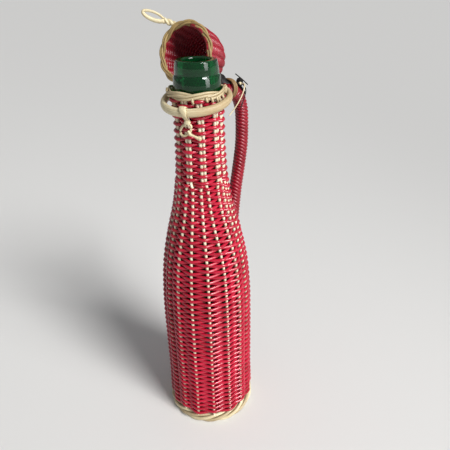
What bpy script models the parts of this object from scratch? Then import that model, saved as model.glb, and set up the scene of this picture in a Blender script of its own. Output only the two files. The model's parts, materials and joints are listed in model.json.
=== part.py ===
"""Wicker-covered bottle: a green glass bottle in a plaited jacket of red cord on cane stakes.

Metres, +Z up. The origin is the centre of the base's underside, the handle is toward +Y
and the cap is modelled seated on the neck, then swung open on its strap hinge.
"""
import math

import bmesh
import bpy
from mathutils import Matrix, Vector

# Clearances
SEAT_GAP = 0.0003
MERGE = 0.00001

# Glass
LIP_Z = 0.3000
LIP_INSET = 0.0021
LIP_ROUND = 0.0008
MOUTH_R = 0.0093
CREASE_Z = 0.2926
CREASE_INSET = 0.0008
CREASE_STEP = 0.0004
COLLAR_INSET = 0.0024
COLLAR_TOP_Z = 0.2848
COLLAR_FOOT_Z = 0.2795
GLASS_NECK_TOP_Z = 0.2770
GLASS_WALL = 0.0028
GLASS_HEEL = 0.0060
PUNT_RISE = 0.0080
PUNT_R = 0.0180
GLASS_STEPS = 22

# Base
BASE_DISC_GAP = 0.0010
BASE_DISC_THICK = 0.0032

# Outline of the woven jacket, outside the cord
WEAVE_TOP_Z = 0.2785
BODY_R = 0.0365
NECK_R = 0.0181
OUTLINE_SHARES = (
    (0.00, 1.04), (0.03, 1.05), (0.14, 1.01), (0.29, 1.00), (0.43, 0.973), (0.54, 0.842),
    (0.63, 0.598), (0.72, 0.261), (0.81, 0.071), (0.90, 0.005), (1.00, 0.00),
)

# Cord and stakes of the jacket
CORD_OUT = 0.0006
CORD_IN = 0.00095
CORD_HALF_HEIGHT = 0.00105
ROW_PITCH = 0.00245
STAKE_R = 0.00095
BODY_STAKES = 17
NECK_COLUMNS = 9
OUT_REACH = 0.0025
IN_REACH = 0.00205
NECK_PAIR_HALF = 0.00115
NECK_FLAT_HALF = 0.0021
FIRST_STAKE_DEG = -218.5
FIRST_COLUMN_DEG = -205.3
SPREAD_FOOT_Z = 0.1500
SPLIT_FOOT_Z = 0.2023
SPLIT_TOP_Z = 0.2048
SPLIT_HALF_SHARE = 0.74
STAKE_FOOT_Z = 0.0066
STAKE_TOP_Z = 0.2781
BODY_WEAVE_FOOT_Z = 0.00755
BODY_WEAVE_TOP_Z = 0.2038
NECK_WEAVE_FOOT_Z = 0.2060
NECK_WEAVE_TOP_Z = 0.2755
STAKE_STATION_SHARES = (0.0, 0.29, 0.40, 0.49, 0.565, 0.63, 0.685)
NECK_STATION_SHARES = (0.0, 0.21, 0.46, 1.0)

# Foot border, a two-strand twist
FOOT_BORDER_INSET = 0.0003
FOOT_STRAND_R = 0.00130
FOOT_TWIST_R = 0.00172
FOOT_TWISTS = 9

# Neck border, two flat canes plaited
NECK_BORDER_INSET = 0.00055
NECK_BORDER_FOOT_Z = 0.2788
NECK_CANE_HALF_THICK = 0.00055
NECK_CANE_HALF_WIDTH = 0.00145
NECK_PLAIT_OUT = 0.00070
NECK_PLAIT_UP = 0.00165
NECK_PLAITS = 3

# Loose hoop round the neck
HOOP_PLAY = 0.00145
HOOP_CANE_R = 0.0022
HOOP_Z = 0.2749
HOOP_SHIFT = 0.0009
HOOP_SHIFT_DEG = 200.0
HOOP_TILT_DEG = 9.7
HOOP_LOW_DEG = -79.0

# Tie that holds the hoop down at the front
TIE_DEG = -73.0
TIE_HALF_THICK = 0.00055
TIE_HALF_WIDTH = 0.00125
TIE_KNOT_DROP = 0.0062
TIE_KNOT_R = 0.0021
TIE_KNOT_FLAT_SHARE = 0.80
TIE_LOOP_R = 0.00075
TIE_LOOP_DROP = 0.0088
TIE_LOOP_HALF = 0.0030
TIE_END_DEG = -46.0
TIE_END_DROP = 0.0105

# Handle
HANDLE_REACH = 0.0538
HANDLE_FOOT_Z = 0.1530
HANDLE_TOP_Z = 0.2743
HANDLE_ROUTE_SHARES = (
    (0.33, 0.985), (0.42, 0.990), (0.51, 0.997), (0.61, 1.000), (0.752, 0.983), (0.901, 0.934),
    (0.978, 0.865), (1.000, 0.786), (0.992, 0.649), (0.950, 0.552), (0.893, 0.455), (0.825, 0.350),
    (0.775, 0.240), (0.735, 0.140), (0.688, 0.060), (0.640, 0.000),
)
HANDLE_CORE_R = 0.0015
HANDLE_CORE_POINTS = 30
NECK_SEAT = -0.0003
BODY_SEAT = 0.0009
WRAP_HALF_THICK = 0.0016
WRAP_SEAT_GAP = 0.0005
WRAP_TURNS = 22
WRAP_TURN_POINTS = 8
WRAP_GAP = 0.0006
WRAP_HOOP_GAP = 0.0038
WRAP_END_SHARE = 0.91

# Cap, as it lies on the neck
CAP_HINGE_OUT = 0.0006
CAP_HINGE_DEG = 115.7
CAP_HINGE_Z = 0.28715
CAP_AXIS_DEG = 43.4
CAP_AXIS_RISE_DEG = 25.0
CAP_OPEN_DEG = 125.2
CAP_SHIFT_X = 0.0013
CAP_SHIFT_Y = 0.0007
CAP_RIM_PLAY = 0.0017
CAP_STRAND_R = 0.0008
CAP_TWIST_OUT = 0.00095
CAP_TWIST_UP = 0.00135
CAP_TWISTS = 8
CAP_DOME_INSET = 0.0005
CAP_DOME_HEIGHT = 0.0352
CAP_DOME_POWER = 2.6
CAP_WALL = 0.0014
CAP_RELIEF = 0.0004
CAP_ROWS = 5
CAP_COLUMNS = 28

# Loop on the cap's rim
LOOP_DEG = -44.0
LOOP_YAW_DEG = -45.0
LOOP_STEM = 0.0100
LOOP_EYE = 0.0110
LOOP_EYE_HALF = 0.0024
LOOP_STRAND_R = 0.0008
LOOP_TWIST_R = 0.00105
LOOP_DROP_DEG = 45.0

# Strap from the handle to the cap, its lashing and its knot
STRAP_HALF_WIDTH = 0.0025
STRAP_HALF_THICK = 0.0006
STRAP_SEAT_SHARE = 0.315
STRAP_LEAVE_SHARE = 0.215
STRAP_HINGE_GAP = 0.0030
STRAP_WIDTH_SHARES = (1.0, 1.0, 1.0, 1.0, 1.0, 0.9, 0.7, 0.45)
LASHING_SHARE = 0.272
LASHING_R = 0.0074
LASHING_CANE_R = 0.0007
LASHING_RISE = 0.0010
KNOT_R = 0.0026
KNOT_PLACE_SHARE = 0.305
KNOT_FLAT_SHARE = 0.7
BEAD_R = 0.0013
STRAW_R = 0.0005
STRAW_DROP = 0.0200
STRAW_ROUTE_SHARES = ((0.0, 0.0), (0.22, -0.08), (0.05, -0.35), (-0.30, -0.70), (-0.65, -1.0))


def clear_scene():
    """Take away the objects that a new file starts with."""
    for item in list(bpy.data.objects):
        bpy.data.objects.remove(item)


def make_collection(name):
    """A collection under the scene's own."""
    group = bpy.data.collections.new(name)
    bpy.context.scene.collection.children.link(group)
    return group


def make_material(name, colour, roughness, metallic=0.0, transmission=0.0):
    """A plain Principled BSDF."""
    material = bpy.data.materials.new(name)
    material.use_nodes = True
    shader = material.node_tree.nodes["Principled BSDF"]
    shader.inputs["Base Color"].default_value = (*colour, 1.0)
    shader.inputs["Roughness"].default_value = roughness
    shader.inputs["Metallic"].default_value = metallic
    shader.inputs["Transmission Weight"].default_value = transmission
    return material


def place(data, name, material, group):
    """An object for the data, with its material, in the group."""
    item = bpy.data.objects.new(name, data)
    data.materials.append(material)
    group.objects.link(item)
    return item


def polar(radius, angle, z):
    """A point from its distance to the axis, its angle and its height."""
    return Vector((radius * math.cos(angle), radius * math.sin(angle), z))


def smooth_step(t):
    """0 to 1 with level ends."""
    t = min(1.0, max(0.0, t))
    return t * t * (3.0 - 2.0 * t)


def hermite(stations, x):
    """A smooth curve through stations of x and y, with level ends."""
    if x <= stations[0][0]:
        return stations[0][1]
    if x >= stations[-1][0]:
        return stations[-1][1]
    last = len(stations) - 1
    i = max(k for k in range(last) if stations[k][0] <= x)

    def slope(k):
        if k in (0, last):
            return 0.0
        rise = stations[k + 1][1] - stations[k - 1][1]
        return rise / (stations[k + 1][0] - stations[k - 1][0])

    (x0, y0), (x1, y1) = stations[i], stations[i + 1]
    span = x1 - x0
    t = (x - x0) / span
    start = y0 * (1 + 2 * t) * (1 - t) ** 2 + slope(i) * span * t * (1 - t) ** 2
    end = y1 * t * t * (3 - 2 * t) + slope(i + 1) * span * t * t * (t - 1)
    return start + end


def weave_radius(z):
    """Outside radius of the woven jacket at a height."""
    return NECK_R + (BODY_R - NECK_R) * hermite(OUTLINE_SHARES, z / WEAVE_TOP_Z)


def stake_ring(z):
    """Radius of the ring that the stakes stand on."""
    return weave_radius(z) - CORD_OUT - OUT_REACH


def split_rise(index):
    """How far a stake's split lies above the first one's, as the cord climbs round."""
    return ROW_PITCH * index / BODY_STAKES


def stake_angle(index, z):
    """Direction of one stake at a height: spread over the body, in pairs up the neck."""
    body_step = 2 * math.pi / BODY_STAKES
    neck_step = 2 * math.pi / NECK_COLUMNS
    column = index // 2
    single = index == BODY_STAKES - 1
    body = math.radians(FIRST_STAKE_DEG) + body_step * (2 * column + (0.0 if single else 0.5))
    neck = math.radians(FIRST_COLUMN_DEG) + neck_step * column
    shift = (0.0 if single else body - math.radians(FIRST_STAKE_DEG) - body_step * 2 * column)
    centre = body + (neck - body) * smooth_step((z - SPREAD_FOOT_Z) / (SPLIT_TOP_Z - SPREAD_FOOT_Z))
    if single:
        return centre
    foot_half = shift * (1 - (1 - SPLIT_HALF_SHARE) * smooth_step((z - SPREAD_FOOT_Z) / (SPLIT_FOOT_Z - SPREAD_FOOT_Z)))
    neck_half = NECK_PAIR_HALF / stake_ring(z)
    foot_z = SPLIT_FOOT_Z + split_rise(index)
    t = min(1.0, max(0.0, (z - foot_z) / (SPLIT_TOP_Z - SPLIT_FOOT_Z)))
    half = foot_half + (neck_half - foot_half) * t
    return centre + (half if index % 2 else -half)


def poly_curve(name, points, cyclic=False):
    """A curve of straight runs through the points."""
    curve = bpy.data.curves.new(name, "CURVE")
    curve.dimensions = "3D"
    curve.twist_mode = "Z_UP"
    curve.render_resolution_u = 0
    spline = curve.splines.new("POLY")
    spline.points.add(len(points) - 1)
    for slot, point in zip(spline.points, points):
        slot.co = (*point, 1.0)
    spline.use_cyclic_u = cyclic
    curve.use_fill_caps = not cyclic
    return curve


def round_tube(name, points, radius, material, group, cyclic=False, resolution=1):
    """A round cane or cord along the points."""
    curve = poly_curve(name, points, cyclic)
    curve.bevel_depth = radius
    curve.bevel_resolution = resolution
    return place(curve, name, material, group)


def shaped_tube(name, points, section, material, group, cyclic=False):
    """A cane or cord of any section along the points."""
    curve = poly_curve(name, points, cyclic)
    curve.bevel_mode = "OBJECT"
    curve.bevel_object = section
    return place(curve, name, material, group)


def make_section(name, outline, group):
    """A closed flat outline that a shaped tube follows: first number outward, second up."""
    curve = bpy.data.curves.new(name, "CURVE")
    curve.dimensions = "2D"
    spline = curve.splines.new("POLY")
    spline.points.add(len(outline) - 1)
    for slot, (out, up) in zip(spline.points, outline):
        slot.co = (out, up, 0.0, 1.0)
    spline.use_cyclic_u = True
    guide = bpy.data.objects.new(name, curve)
    guide.hide_render = True
    guide.display_type = "WIRE"
    group.objects.link(guide)
    return guide


def oval(half_out, half_up, count):
    """An oval outline, clockwise."""
    turns = [-2 * math.pi * i / count for i in range(count)]
    return [(half_out * math.cos(t), half_up * math.sin(t)) for t in turns]


def turned(name, outline, steps, material, group):
    """A turned shape: the outline runs down its outer side, as radius and height."""
    mesh = bpy.data.meshes.new(name)
    bm = bmesh.new()
    verts = [bm.verts.new((radius, 0.0, z)) for radius, z in outline]
    for low, high in zip(verts, verts[1:]):
        bm.edges.new((low, high))
    bm.to_mesh(mesh)
    bm.free()
    item = place(mesh, name, material, group)
    screw = item.modifiers.new("Turn", "SCREW")
    screw.steps = steps
    screw.render_steps = steps
    screw.use_merge_vertices = True
    screw.merge_threshold = MERGE
    return item


def skin(name, rings, material, group):
    """A closed skin over rings of points, capped at both ends."""
    mesh = bpy.data.meshes.new(name)
    bm = bmesh.new()
    rows = [[bm.verts.new(point) for point in ring] for ring in rings]
    count = len(rows[0])
    for first, second in zip(rows, rows[1:]):
        for i in range(count):
            j = (i + 1) % count
            bm.faces.new((first[i], first[j], second[j], second[i]))
    bm.faces.new(rows[0])
    bm.faces.new(rows[-1])
    bmesh.ops.recalc_face_normals(bm, faces=bm.faces)
    bm.to_mesh(mesh)
    bm.free()
    return place(mesh, name, material, group)


def lump(name, centre, radii, turn, material, group):
    """A rounded lump, such as a knot or a bead."""
    mesh = bpy.data.meshes.new(name)
    bm = bmesh.new()
    bmesh.ops.create_uvsphere(bm, u_segments=8, v_segments=5, radius=1.0)
    bmesh.ops.scale(bm, vec=radii, verts=bm.verts)
    bmesh.ops.rotate(bm, cent=(0, 0, 0), matrix=Matrix.Rotation(turn, 3, "Z"), verts=bm.verts)
    bm.to_mesh(mesh)
    bm.free()
    mesh.shade_smooth()
    item = place(mesh, name, material, group)
    item.location = centre
    return item


def glass_outline():
    """Down the outside from the lip, under the punt, as radius and height; then the inside."""
    neck_r = stake_ring(GLASS_NECK_TOP_Z) - IN_REACH - CORD_IN - SEAT_GAP
    foot_z = BASE_DISC_THICK + SEAT_GAP
    collar_r = NECK_R - COLLAR_INSET
    crease_r = collar_r - CREASE_INSET
    lip_r = collar_r - LIP_INSET

    def outside(z):
        return stake_ring(z) - IN_REACH - CORD_IN - SEAT_GAP

    body_r = min(outside(WEAVE_TOP_Z * share) for share in (0.14, 0.29))
    stations = [WEAVE_TOP_Z * share for share in (0.86, 0.77, 0.70, 0.63, 0.555, 0.48, 0.40)]
    walls = [(min(outside(z), body_r) - SEAT_GAP, z) for z in stations]
    outer = [
        (lip_r - LIP_ROUND, LIP_Z), (lip_r, LIP_Z - LIP_ROUND),
        (crease_r, CREASE_Z), (crease_r + CREASE_STEP, CREASE_Z - CREASE_STEP),
        (collar_r, COLLAR_TOP_Z), (collar_r, COLLAR_FOOT_Z), (neck_r, GLASS_NECK_TOP_Z),
    ]
    outer += walls
    outer += [(body_r, foot_z + GLASS_HEEL), (body_r - GLASS_HEEL, foot_z), (PUNT_R, foot_z), (0.0, foot_z + PUNT_RISE)]
    inner = [(0.0, foot_z + PUNT_RISE + GLASS_WALL), (PUNT_R, foot_z + GLASS_WALL)]
    inner += [(body_r - GLASS_WALL - GLASS_HEEL / 2, foot_z + GLASS_WALL), (body_r - GLASS_WALL, foot_z + GLASS_HEEL)]
    inner += [(radius - GLASS_WALL, z) for radius, z in reversed(walls)]
    inner += [(MOUTH_R, GLASS_NECK_TOP_Z), (MOUTH_R, LIP_Z)]
    return inner + outer


def make_glass(group, glass):
    """The bottle, hollow and open at the mouth."""
    return turned("glass_bottle", glass_outline(), GLASS_STEPS, glass, group)


def foot_border_ring():
    """Radius of the foot border's middle line, under the stakes."""
    return stake_ring(STAKE_FOOT_Z) - FOOT_BORDER_INSET


def make_base(group, cane):
    """The flat woven base that the glass stands on, inside the foot border."""
    radius = foot_border_ring() - FOOT_TWIST_R - FOOT_STRAND_R - BASE_DISC_GAP
    mesh = bpy.data.meshes.new("base_disc")
    bm = bmesh.new()
    bmesh.ops.create_cone(
        bm, cap_ends=True, segments=GLASS_STEPS, radius1=radius, radius2=radius,
        depth=BASE_DISC_THICK, matrix=Matrix.Translation((0, 0, BASE_DISC_THICK / 2)),
    )
    bm.to_mesh(mesh)
    bm.free()
    place(mesh, "base_disc", cane, group)


def make_stakes(group, cane):
    """The upright canes: one each round the body, in pairs up the neck."""
    heights = [STAKE_FOOT_Z + (STAKE_TOP_Z - STAKE_FOOT_Z) * share for share in STAKE_STATION_SHARES]
    for index in range(BODY_STAKES):
        rise = split_rise(index)
        neck_foot = SPLIT_TOP_Z + rise
        upper = [SPLIT_FOOT_Z + rise] + [neck_foot + (STAKE_TOP_Z - neck_foot) * share for share in NECK_STATION_SHARES]
        rings = []
        for z in heights + upper:
            angle = stake_angle(index, z)
            centre = polar(stake_ring(z), angle, z)
            rings.append([centre + polar(STAKE_R, angle + math.pi * k / 2, 0.0) for k in range(4)])
        skin(f"stake_{index + 1:02d}", rings, cane, group)


def body_cord_route():
    """One cord up the body, outside one stake and inside the next, all the way."""
    turns = int((BODY_WEAVE_TOP_Z - BODY_WEAVE_FOOT_Z) / ROW_PITCH)
    points = []
    for i in range(turns * BODY_STAKES):
        z = BODY_WEAVE_FOOT_Z + ROW_PITCH * i / BODY_STAKES
        reach = OUT_REACH if i % 2 == 0 else -IN_REACH
        points.append(polar(stake_ring(z) + reach, stake_angle(i % BODY_STAKES, z), z))
    return points


def neck_cord_route():
    """The cord up the neck, flat over each pair of stakes."""
    turns = int((NECK_WEAVE_TOP_Z - NECK_WEAVE_FOOT_Z) / ROW_PITCH)
    step = 2 * math.pi / NECK_COLUMNS
    points = []
    for i in range(turns * NECK_COLUMNS + 1):
        for side in (-1, 1):
            z = NECK_WEAVE_FOOT_Z + ROW_PITCH * (i + side * NECK_FLAT_HALF / (step * NECK_R) / 2) / NECK_COLUMNS
            reach = OUT_REACH if i % 2 == 0 else -IN_REACH
            ring = stake_ring(z)
            angle = math.radians(FIRST_COLUMN_DEG) + step * i + side * NECK_FLAT_HALF / ring
            points.append(polar(ring + reach, angle, z))
    return points


def make_weave(group, guides, cord):
    """The two woven lengths of red cord."""
    outline = [(CORD_OUT, CORD_HALF_HEIGHT), (CORD_OUT, -CORD_HALF_HEIGHT), (-CORD_IN, 0.0)]
    section = make_section("cord_section", outline, guides)
    shaped_tube("body_weaver", body_cord_route(), section, cord, group)
    shaped_tube("neck_weaver", neck_cord_route(), section, cord, group)


def twist_route(ring, z, twists, out, up, phase, steps):
    """One strand of a two-strand twist round a ring."""
    count = twists * steps
    points = []
    for i in range(count):
        turn = 2 * math.pi * i / count
        roll = twists * turn + phase
        points.append(polar(ring + out * math.cos(roll), turn, z + up * math.sin(roll)))
    return points


def make_borders(group, guides, cane):
    """The twisted foot border and the plaited neck border."""
    foot_z = FOOT_STRAND_R + FOOT_TWIST_R
    for number, phase in ((1, 0.0), (2, math.pi)):
        route = twist_route(foot_border_ring(), foot_z, FOOT_TWISTS, FOOT_TWIST_R, FOOT_TWIST_R, phase, 5)
        round_tube(f"foot_border_strand_{number}", route, FOOT_STRAND_R, cane, group, cyclic=True)
    section = make_section("neck_cane_section", oval(NECK_CANE_HALF_THICK, NECK_CANE_HALF_WIDTH, 4), guides)
    neck_z = NECK_BORDER_FOOT_Z + NECK_CANE_HALF_WIDTH + NECK_PLAIT_UP
    for number, phase in ((1, 0.0), (2, math.pi)):
        route = twist_route(NECK_R - NECK_BORDER_INSET, neck_z, NECK_PLAITS, NECK_PLAIT_OUT, NECK_PLAIT_UP, phase, 10)
        shaped_tube(f"neck_border_strand_{number}", route, section, cane, group, cyclic=True)


def hoop_ring():
    """Radius of the hoop's middle line, with its play round the neck."""
    return NECK_R + HOOP_PLAY + HOOP_CANE_R


def hoop_height(angle):
    """Height of the hoop's middle in a direction."""
    low = math.radians(HOOP_LOW_DEG)
    return HOOP_Z - hoop_ring() * math.tan(math.radians(HOOP_TILT_DEG)) * math.cos(angle - low)


def make_hoop(group, cane):
    """The loose hoop of round cane, low at the front and high at the handle."""
    count = 20
    shift = polar(HOOP_SHIFT, math.radians(HOOP_SHIFT_DEG), 0.0)
    turns = [2 * math.pi * i / count for i in range(count)]
    points = [polar(hoop_ring(), turn, hoop_height(turn)) + shift for turn in turns]
    round_tube("neck_hoop", points, HOOP_CANE_R, cane, group, cyclic=True, resolution=2)


def make_tie(group, guides, cane):
    """The cane strip over the hoop, its knot, its loop and its free end."""
    angle = math.radians(TIE_DEG)
    hoop_z = hoop_height(angle)
    knot_z = hoop_z - TIE_KNOT_DROP
    clear = HOOP_CANE_R + SEAT_GAP + TIE_HALF_THICK
    weave = NECK_R + SEAT_GAP
    knot_r = weave + TIE_KNOT_R * TIE_KNOT_FLAT_SHARE
    section = make_section("tie_section", oval(TIE_HALF_WIDTH, TIE_HALF_THICK, 6), guides)
    strip = [(NECK_R + SEAT_GAP + TIE_HALF_THICK, hoop_z + HOOP_CANE_R + 2 * clear - HOOP_CANE_R)]
    for degrees in (100, 65, 30, -5, -40):
        lift = math.radians(degrees)
        strip.append((hoop_ring() + clear * math.cos(lift), hoop_z + clear * math.sin(lift)))
    strip.append((knot_r + TIE_KNOT_R / 2, knot_z + TIE_KNOT_R + SEAT_GAP + TIE_HALF_THICK))
    shaped_tube("hoop_tie", [polar(r, angle, z) for r, z in strip], section, cane, group)
    knot = polar(knot_r, angle, knot_z)
    radii = (TIE_KNOT_R * TIE_KNOT_FLAT_SHARE, TIE_KNOT_R, TIE_KNOT_R)
    lump("tie_knot", knot, radii, angle, cane, group)
    loop_r = weave + TIE_LOOP_R
    low_z = knot_z - TIE_KNOT_R - SEAT_GAP - TIE_LOOP_R
    loop = []
    for i in range(13):
        turn = 2 * math.pi * (i + 0.5) / 13
        side = TIE_LOOP_HALF * math.sin(turn) / loop_r
        loop.append(polar(loop_r, angle + side, low_z - TIE_LOOP_DROP * (1 - math.cos(turn)) / 2))
    round_tube("tie_loop", loop, TIE_LOOP_R, cane, group, cyclic=True)
    start = angle + (TIE_KNOT_R + SEAT_GAP + TIE_LOOP_R) / loop_r
    end = math.radians(TIE_END_DEG)
    tail = []
    for i in range(6):
        t = i / 5
        tail.append(polar(loop_r + TIE_LOOP_R * t, start + (end - start) * t, knot_z - TIE_END_DROP * t))
    return round_tube("tie_tail", tail, TIE_LOOP_R, cane, group)


def spline_point(stations, t):
    """A point at share t of a smooth curve through evenly counted stations."""
    last = len(stations) - 1
    place_on = min(max(t, 0.0), 1.0) * last
    i = min(int(place_on), last - 1)
    u = place_on - i
    a = stations[max(i - 1, 0)]
    b = stations[i]
    c = stations[i + 1]
    d = stations[min(i + 2, last)]
    return 0.5 * (2 * b + (c - a) * u + (2 * a - 5 * b + 4 * c - d) * u ** 2 + (3 * b - a - 3 * c + d) * u ** 3)


def handle_stations():
    """The handle's middle line from the neck, up over the top and down to the body."""
    rise = HANDLE_TOP_Z - HANDLE_FOOT_Z
    points = [Vector((0.0, HANDLE_REACH * out, HANDLE_FOOT_Z + rise * up)) for out, up in HANDLE_ROUTE_SHARES]
    points[0].y = weave_radius(points[0].z) - NECK_SEAT
    points[-1].y = weave_radius(points[-1].z) - BODY_SEAT
    return points


def handle_point(share):
    """A point on the handle's middle line, by share of its stations."""
    return spline_point(handle_stations(), share)


def handle_frame(share):
    """The point, the direction along and the outward direction of the handle at a share."""
    step = 0.001
    along = (handle_point(share + step) - handle_point(share - step)).normalized()
    outward = Vector((1.0, 0.0, 0.0)).cross(along).normalized()
    if outward.y < 0 and outward.z < 0:
        outward = -outward
    return handle_point(share), along, outward


def even_shares(start, end, count):
    """Shares of the handle's line that lie evenly along its length."""
    fine = 400
    shares = [start + (end - start) * i / fine for i in range(fine + 1)]
    spots = [handle_point(share) for share in shares]
    lengths = [0.0]
    for a, b in zip(spots, spots[1:]):
        lengths.append(lengths[-1] + (b - a).length)
    even = []
    k = 0
    for i in range(count + 1):
        target = lengths[-1] * i / count
        while k < fine - 1 and lengths[k + 1] < target:
            k += 1
        part = (target - lengths[k]) / (lengths[k + 1] - lengths[k])
        even.append(shares[k] + (shares[k + 1] - shares[k]) * part)
    return even, lengths[-1]


def wrap_start_share():
    """Where the winding starts on the handle's line, clear of the hoop."""
    start_y = hoop_ring() + HOOP_CANE_R + WRAP_HOOP_GAP
    return next(i / 1000 for i in range(1000) if handle_point(i / 1000).y >= start_y)


def wrap_route():
    """The red cord wound round the handle, as one unbroken tube."""
    count = WRAP_TURNS * WRAP_TURN_POINTS
    shares, _ = even_shares(wrap_start_share(), WRAP_END_SHARE, count)
    reach = HANDLE_CORE_R + WRAP_SEAT_GAP + WRAP_HALF_THICK
    side = Vector((1.0, 0.0, 0.0))
    points = []
    for i, share in enumerate(shares):
        centre, along, outward = handle_frame(share)
        turn = 2 * math.pi * i / WRAP_TURN_POINTS
        points.append(centre + reach * (math.cos(turn) * outward + math.sin(turn) * side))
    return points


def winding_rings(points):
    """Sections of the winding, each as wide as its own room, and the least gap between turns."""
    shares, _ = even_shares(wrap_start_share(), WRAP_END_SHARE, len(points) - 1)
    last = len(points) - 1
    room = []
    for i, point in enumerate(points):
        beside = [k for k in (i - WRAP_TURN_POINTS, i + WRAP_TURN_POINTS) if 0 <= k <= last]
        room.append(min((points[k] - point).length for k in beside))
    halves = [(space - WRAP_GAP) / 2 for space in room]
    rings = []
    for point, share, half in zip(points, shares, halves):
        centre, along, _ = handle_frame(share)
        out = (point - centre).normalized()
        rings.append([point + out * a + along * b for a, b in oval(WRAP_HALF_THICK, half, 4)])
    gap = min(
        (p - q).length
        for i in range(len(rings) - WRAP_TURN_POINTS)
        for p in rings[i]
        for q in rings[i + WRAP_TURN_POINTS]
    )
    return rings, gap


def make_handle(group, cane, cord):
    """The cane core and its winding."""
    line = [handle_point(i / HANDLE_CORE_POINTS) for i in range(HANDLE_CORE_POINTS + 1)]
    round_tube("handle_core", line, HANDLE_CORE_R, cane, group)
    rings, gap = winding_rings(wrap_route())
    skin("handle_wrap", rings, cord, group)
    print("handle_wrap least gap to itself, mm:", round(1000 * gap, 2))


def cap_rim_ring():
    """Radius of the cap rim's middle line, with its play round the neck."""
    return NECK_R + CAP_RIM_PLAY


def cap_centre():
    """Middle of the cap's rim when it lies on the neck."""
    border_top = NECK_BORDER_FOOT_Z + 2 * (NECK_CANE_HALF_WIDTH + NECK_PLAIT_UP)
    return Vector((CAP_SHIFT_X, CAP_SHIFT_Y, border_top + SEAT_GAP + CAP_STRAND_R + CAP_TWIST_UP))


def cap_turn():
    """The matrix that swings the cap from the neck to its open place."""
    hinge = polar(cap_rim_ring() + CAP_HINGE_OUT, math.radians(CAP_HINGE_DEG), CAP_HINGE_Z)
    rise = math.radians(CAP_AXIS_RISE_DEG)
    heading = math.radians(CAP_AXIS_DEG)
    axis = polar(math.cos(rise), heading, math.sin(rise))
    swing = Matrix.Rotation(-math.radians(CAP_OPEN_DEG), 4, axis)
    return Matrix.Translation(hinge) @ swing @ Matrix.Translation(-hinge), hinge, axis


def dome_radius(height):
    """Outside radius of the cap's dome above its rim."""
    share = min(1.0, height / CAP_DOME_HEIGHT)
    return (cap_rim_ring() - CAP_DOME_INSET) * (1 - share ** CAP_DOME_POWER) ** (1 / CAP_DOME_POWER)


def make_dome(group, cord):
    """The woven dome, with the ribs that its rows of cord make over the stakes in it."""
    centre = cap_centre()
    foot = CAP_TWIST_UP + CAP_STRAND_R + SEAT_GAP
    mesh = bpy.data.meshes.new("cap_weave")
    bm = bmesh.new()
    rings = []
    top_angle = math.pi / 2
    for row in range(CAP_ROWS + 1):
        slant = top_angle * row / (CAP_ROWS + 1)
        height = foot + (CAP_DOME_HEIGHT - foot) * math.sin(slant)
        spread = dome_radius(height)
        ring = []
        for column in range(CAP_COLUMNS):
            out = CAP_RELIEF if column % 2 else -CAP_RELIEF
            turn = 2 * math.pi * column / CAP_COLUMNS
            ring.append(bm.verts.new(centre + polar(spread + out, turn, height)))
        rings.append(ring)
    crown = bm.verts.new(centre + Vector((0.0, 0.0, CAP_DOME_HEIGHT)))
    for low, high in zip(rings, rings[1:]):
        for i in range(CAP_COLUMNS):
            j = (i + 1) % CAP_COLUMNS
            bm.faces.new((low[i], low[j], high[j], high[i]))
    for i in range(CAP_COLUMNS):
        bm.faces.new((rings[-1][i], rings[-1][(i + 1) % CAP_COLUMNS], crown))
    bm.to_mesh(mesh)
    bm.free()
    mesh.shade_smooth()
    item = place(mesh, "cap_weave", cord, group)
    wall = item.modifiers.new("Wall", "SOLIDIFY")
    wall.thickness = CAP_WALL
    wall.offset = -1.0
    return item


def make_rim(group, cane):
    """The two-strand twist round the cap's mouth."""
    centre = cap_centre()
    items = []
    for number, phase in ((1, 0.0), (2, math.pi)):
        route = twist_route(cap_rim_ring(), 0.0, CAP_TWISTS, CAP_TWIST_OUT, CAP_TWIST_UP, phase, 4)
        points = [point + centre for point in route]
        name = f"cap_rim_strand_{number}"
        items.append(round_tube(name, points, CAP_STRAND_R, cane, group, cyclic=True, resolution=0))
    return items


def loop_base():
    """Where the loop leaves the rim, with the directions along it and across it."""
    angle = math.radians(LOOP_DEG)
    drop = math.radians(LOOP_DROP_DEG)
    level = polar(1.0, angle + math.radians(LOOP_YAW_DEG), 0.0)
    along = level * math.cos(drop) - Vector((0.0, 0.0, math.sin(drop)))
    start = cap_rim_ring() + CAP_TWIST_OUT + CAP_STRAND_R + SEAT_GAP + LOOP_STRAND_R + LOOP_TWIST_R
    base = cap_centre() + polar(start, angle, 0.0)
    across = along.cross(Vector((0.0, 0.0, 1.0))).normalized()
    return base, along, across


def make_loop(group, cane):
    """The latch loop: one cane twisted back on itself, open at its end as an eye."""
    base, along, across = loop_base()
    above = along.cross(across).normalized()
    stem = []
    count = 8
    for i in range(count + 1):
        t = i / count
        roll = 2 * math.pi * 1.5 * t
        off = LOOP_TWIST_R * (math.cos(roll) * across + math.sin(roll) * above)
        stem.append((base + along * LOOP_STEM * t, off))
    out_leg = [spot + off for spot, off in stem]
    back_leg = [spot - off for spot, off in reversed(stem)]
    middle = base + along * (LOOP_STEM + LOOP_EYE / 2)
    eye = []
    for i in range(1, 10):
        turn = math.pi * i / 10
        reach = -math.cos(turn) * LOOP_EYE / 2
        eye.append((reach, math.sin(turn) * LOOP_EYE_HALF))
    side = -1.0 if stem[-1][1].dot(across) < 0 else 1.0
    ring = [middle + along * reach + across * side * half for reach, half in eye]
    ring += [middle + along * reach - across * side * half for reach, half in reversed(eye)]
    return round_tube("cap_loop", out_leg + ring + back_leg, LOOP_STRAND_R, cane, group, resolution=0)


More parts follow.
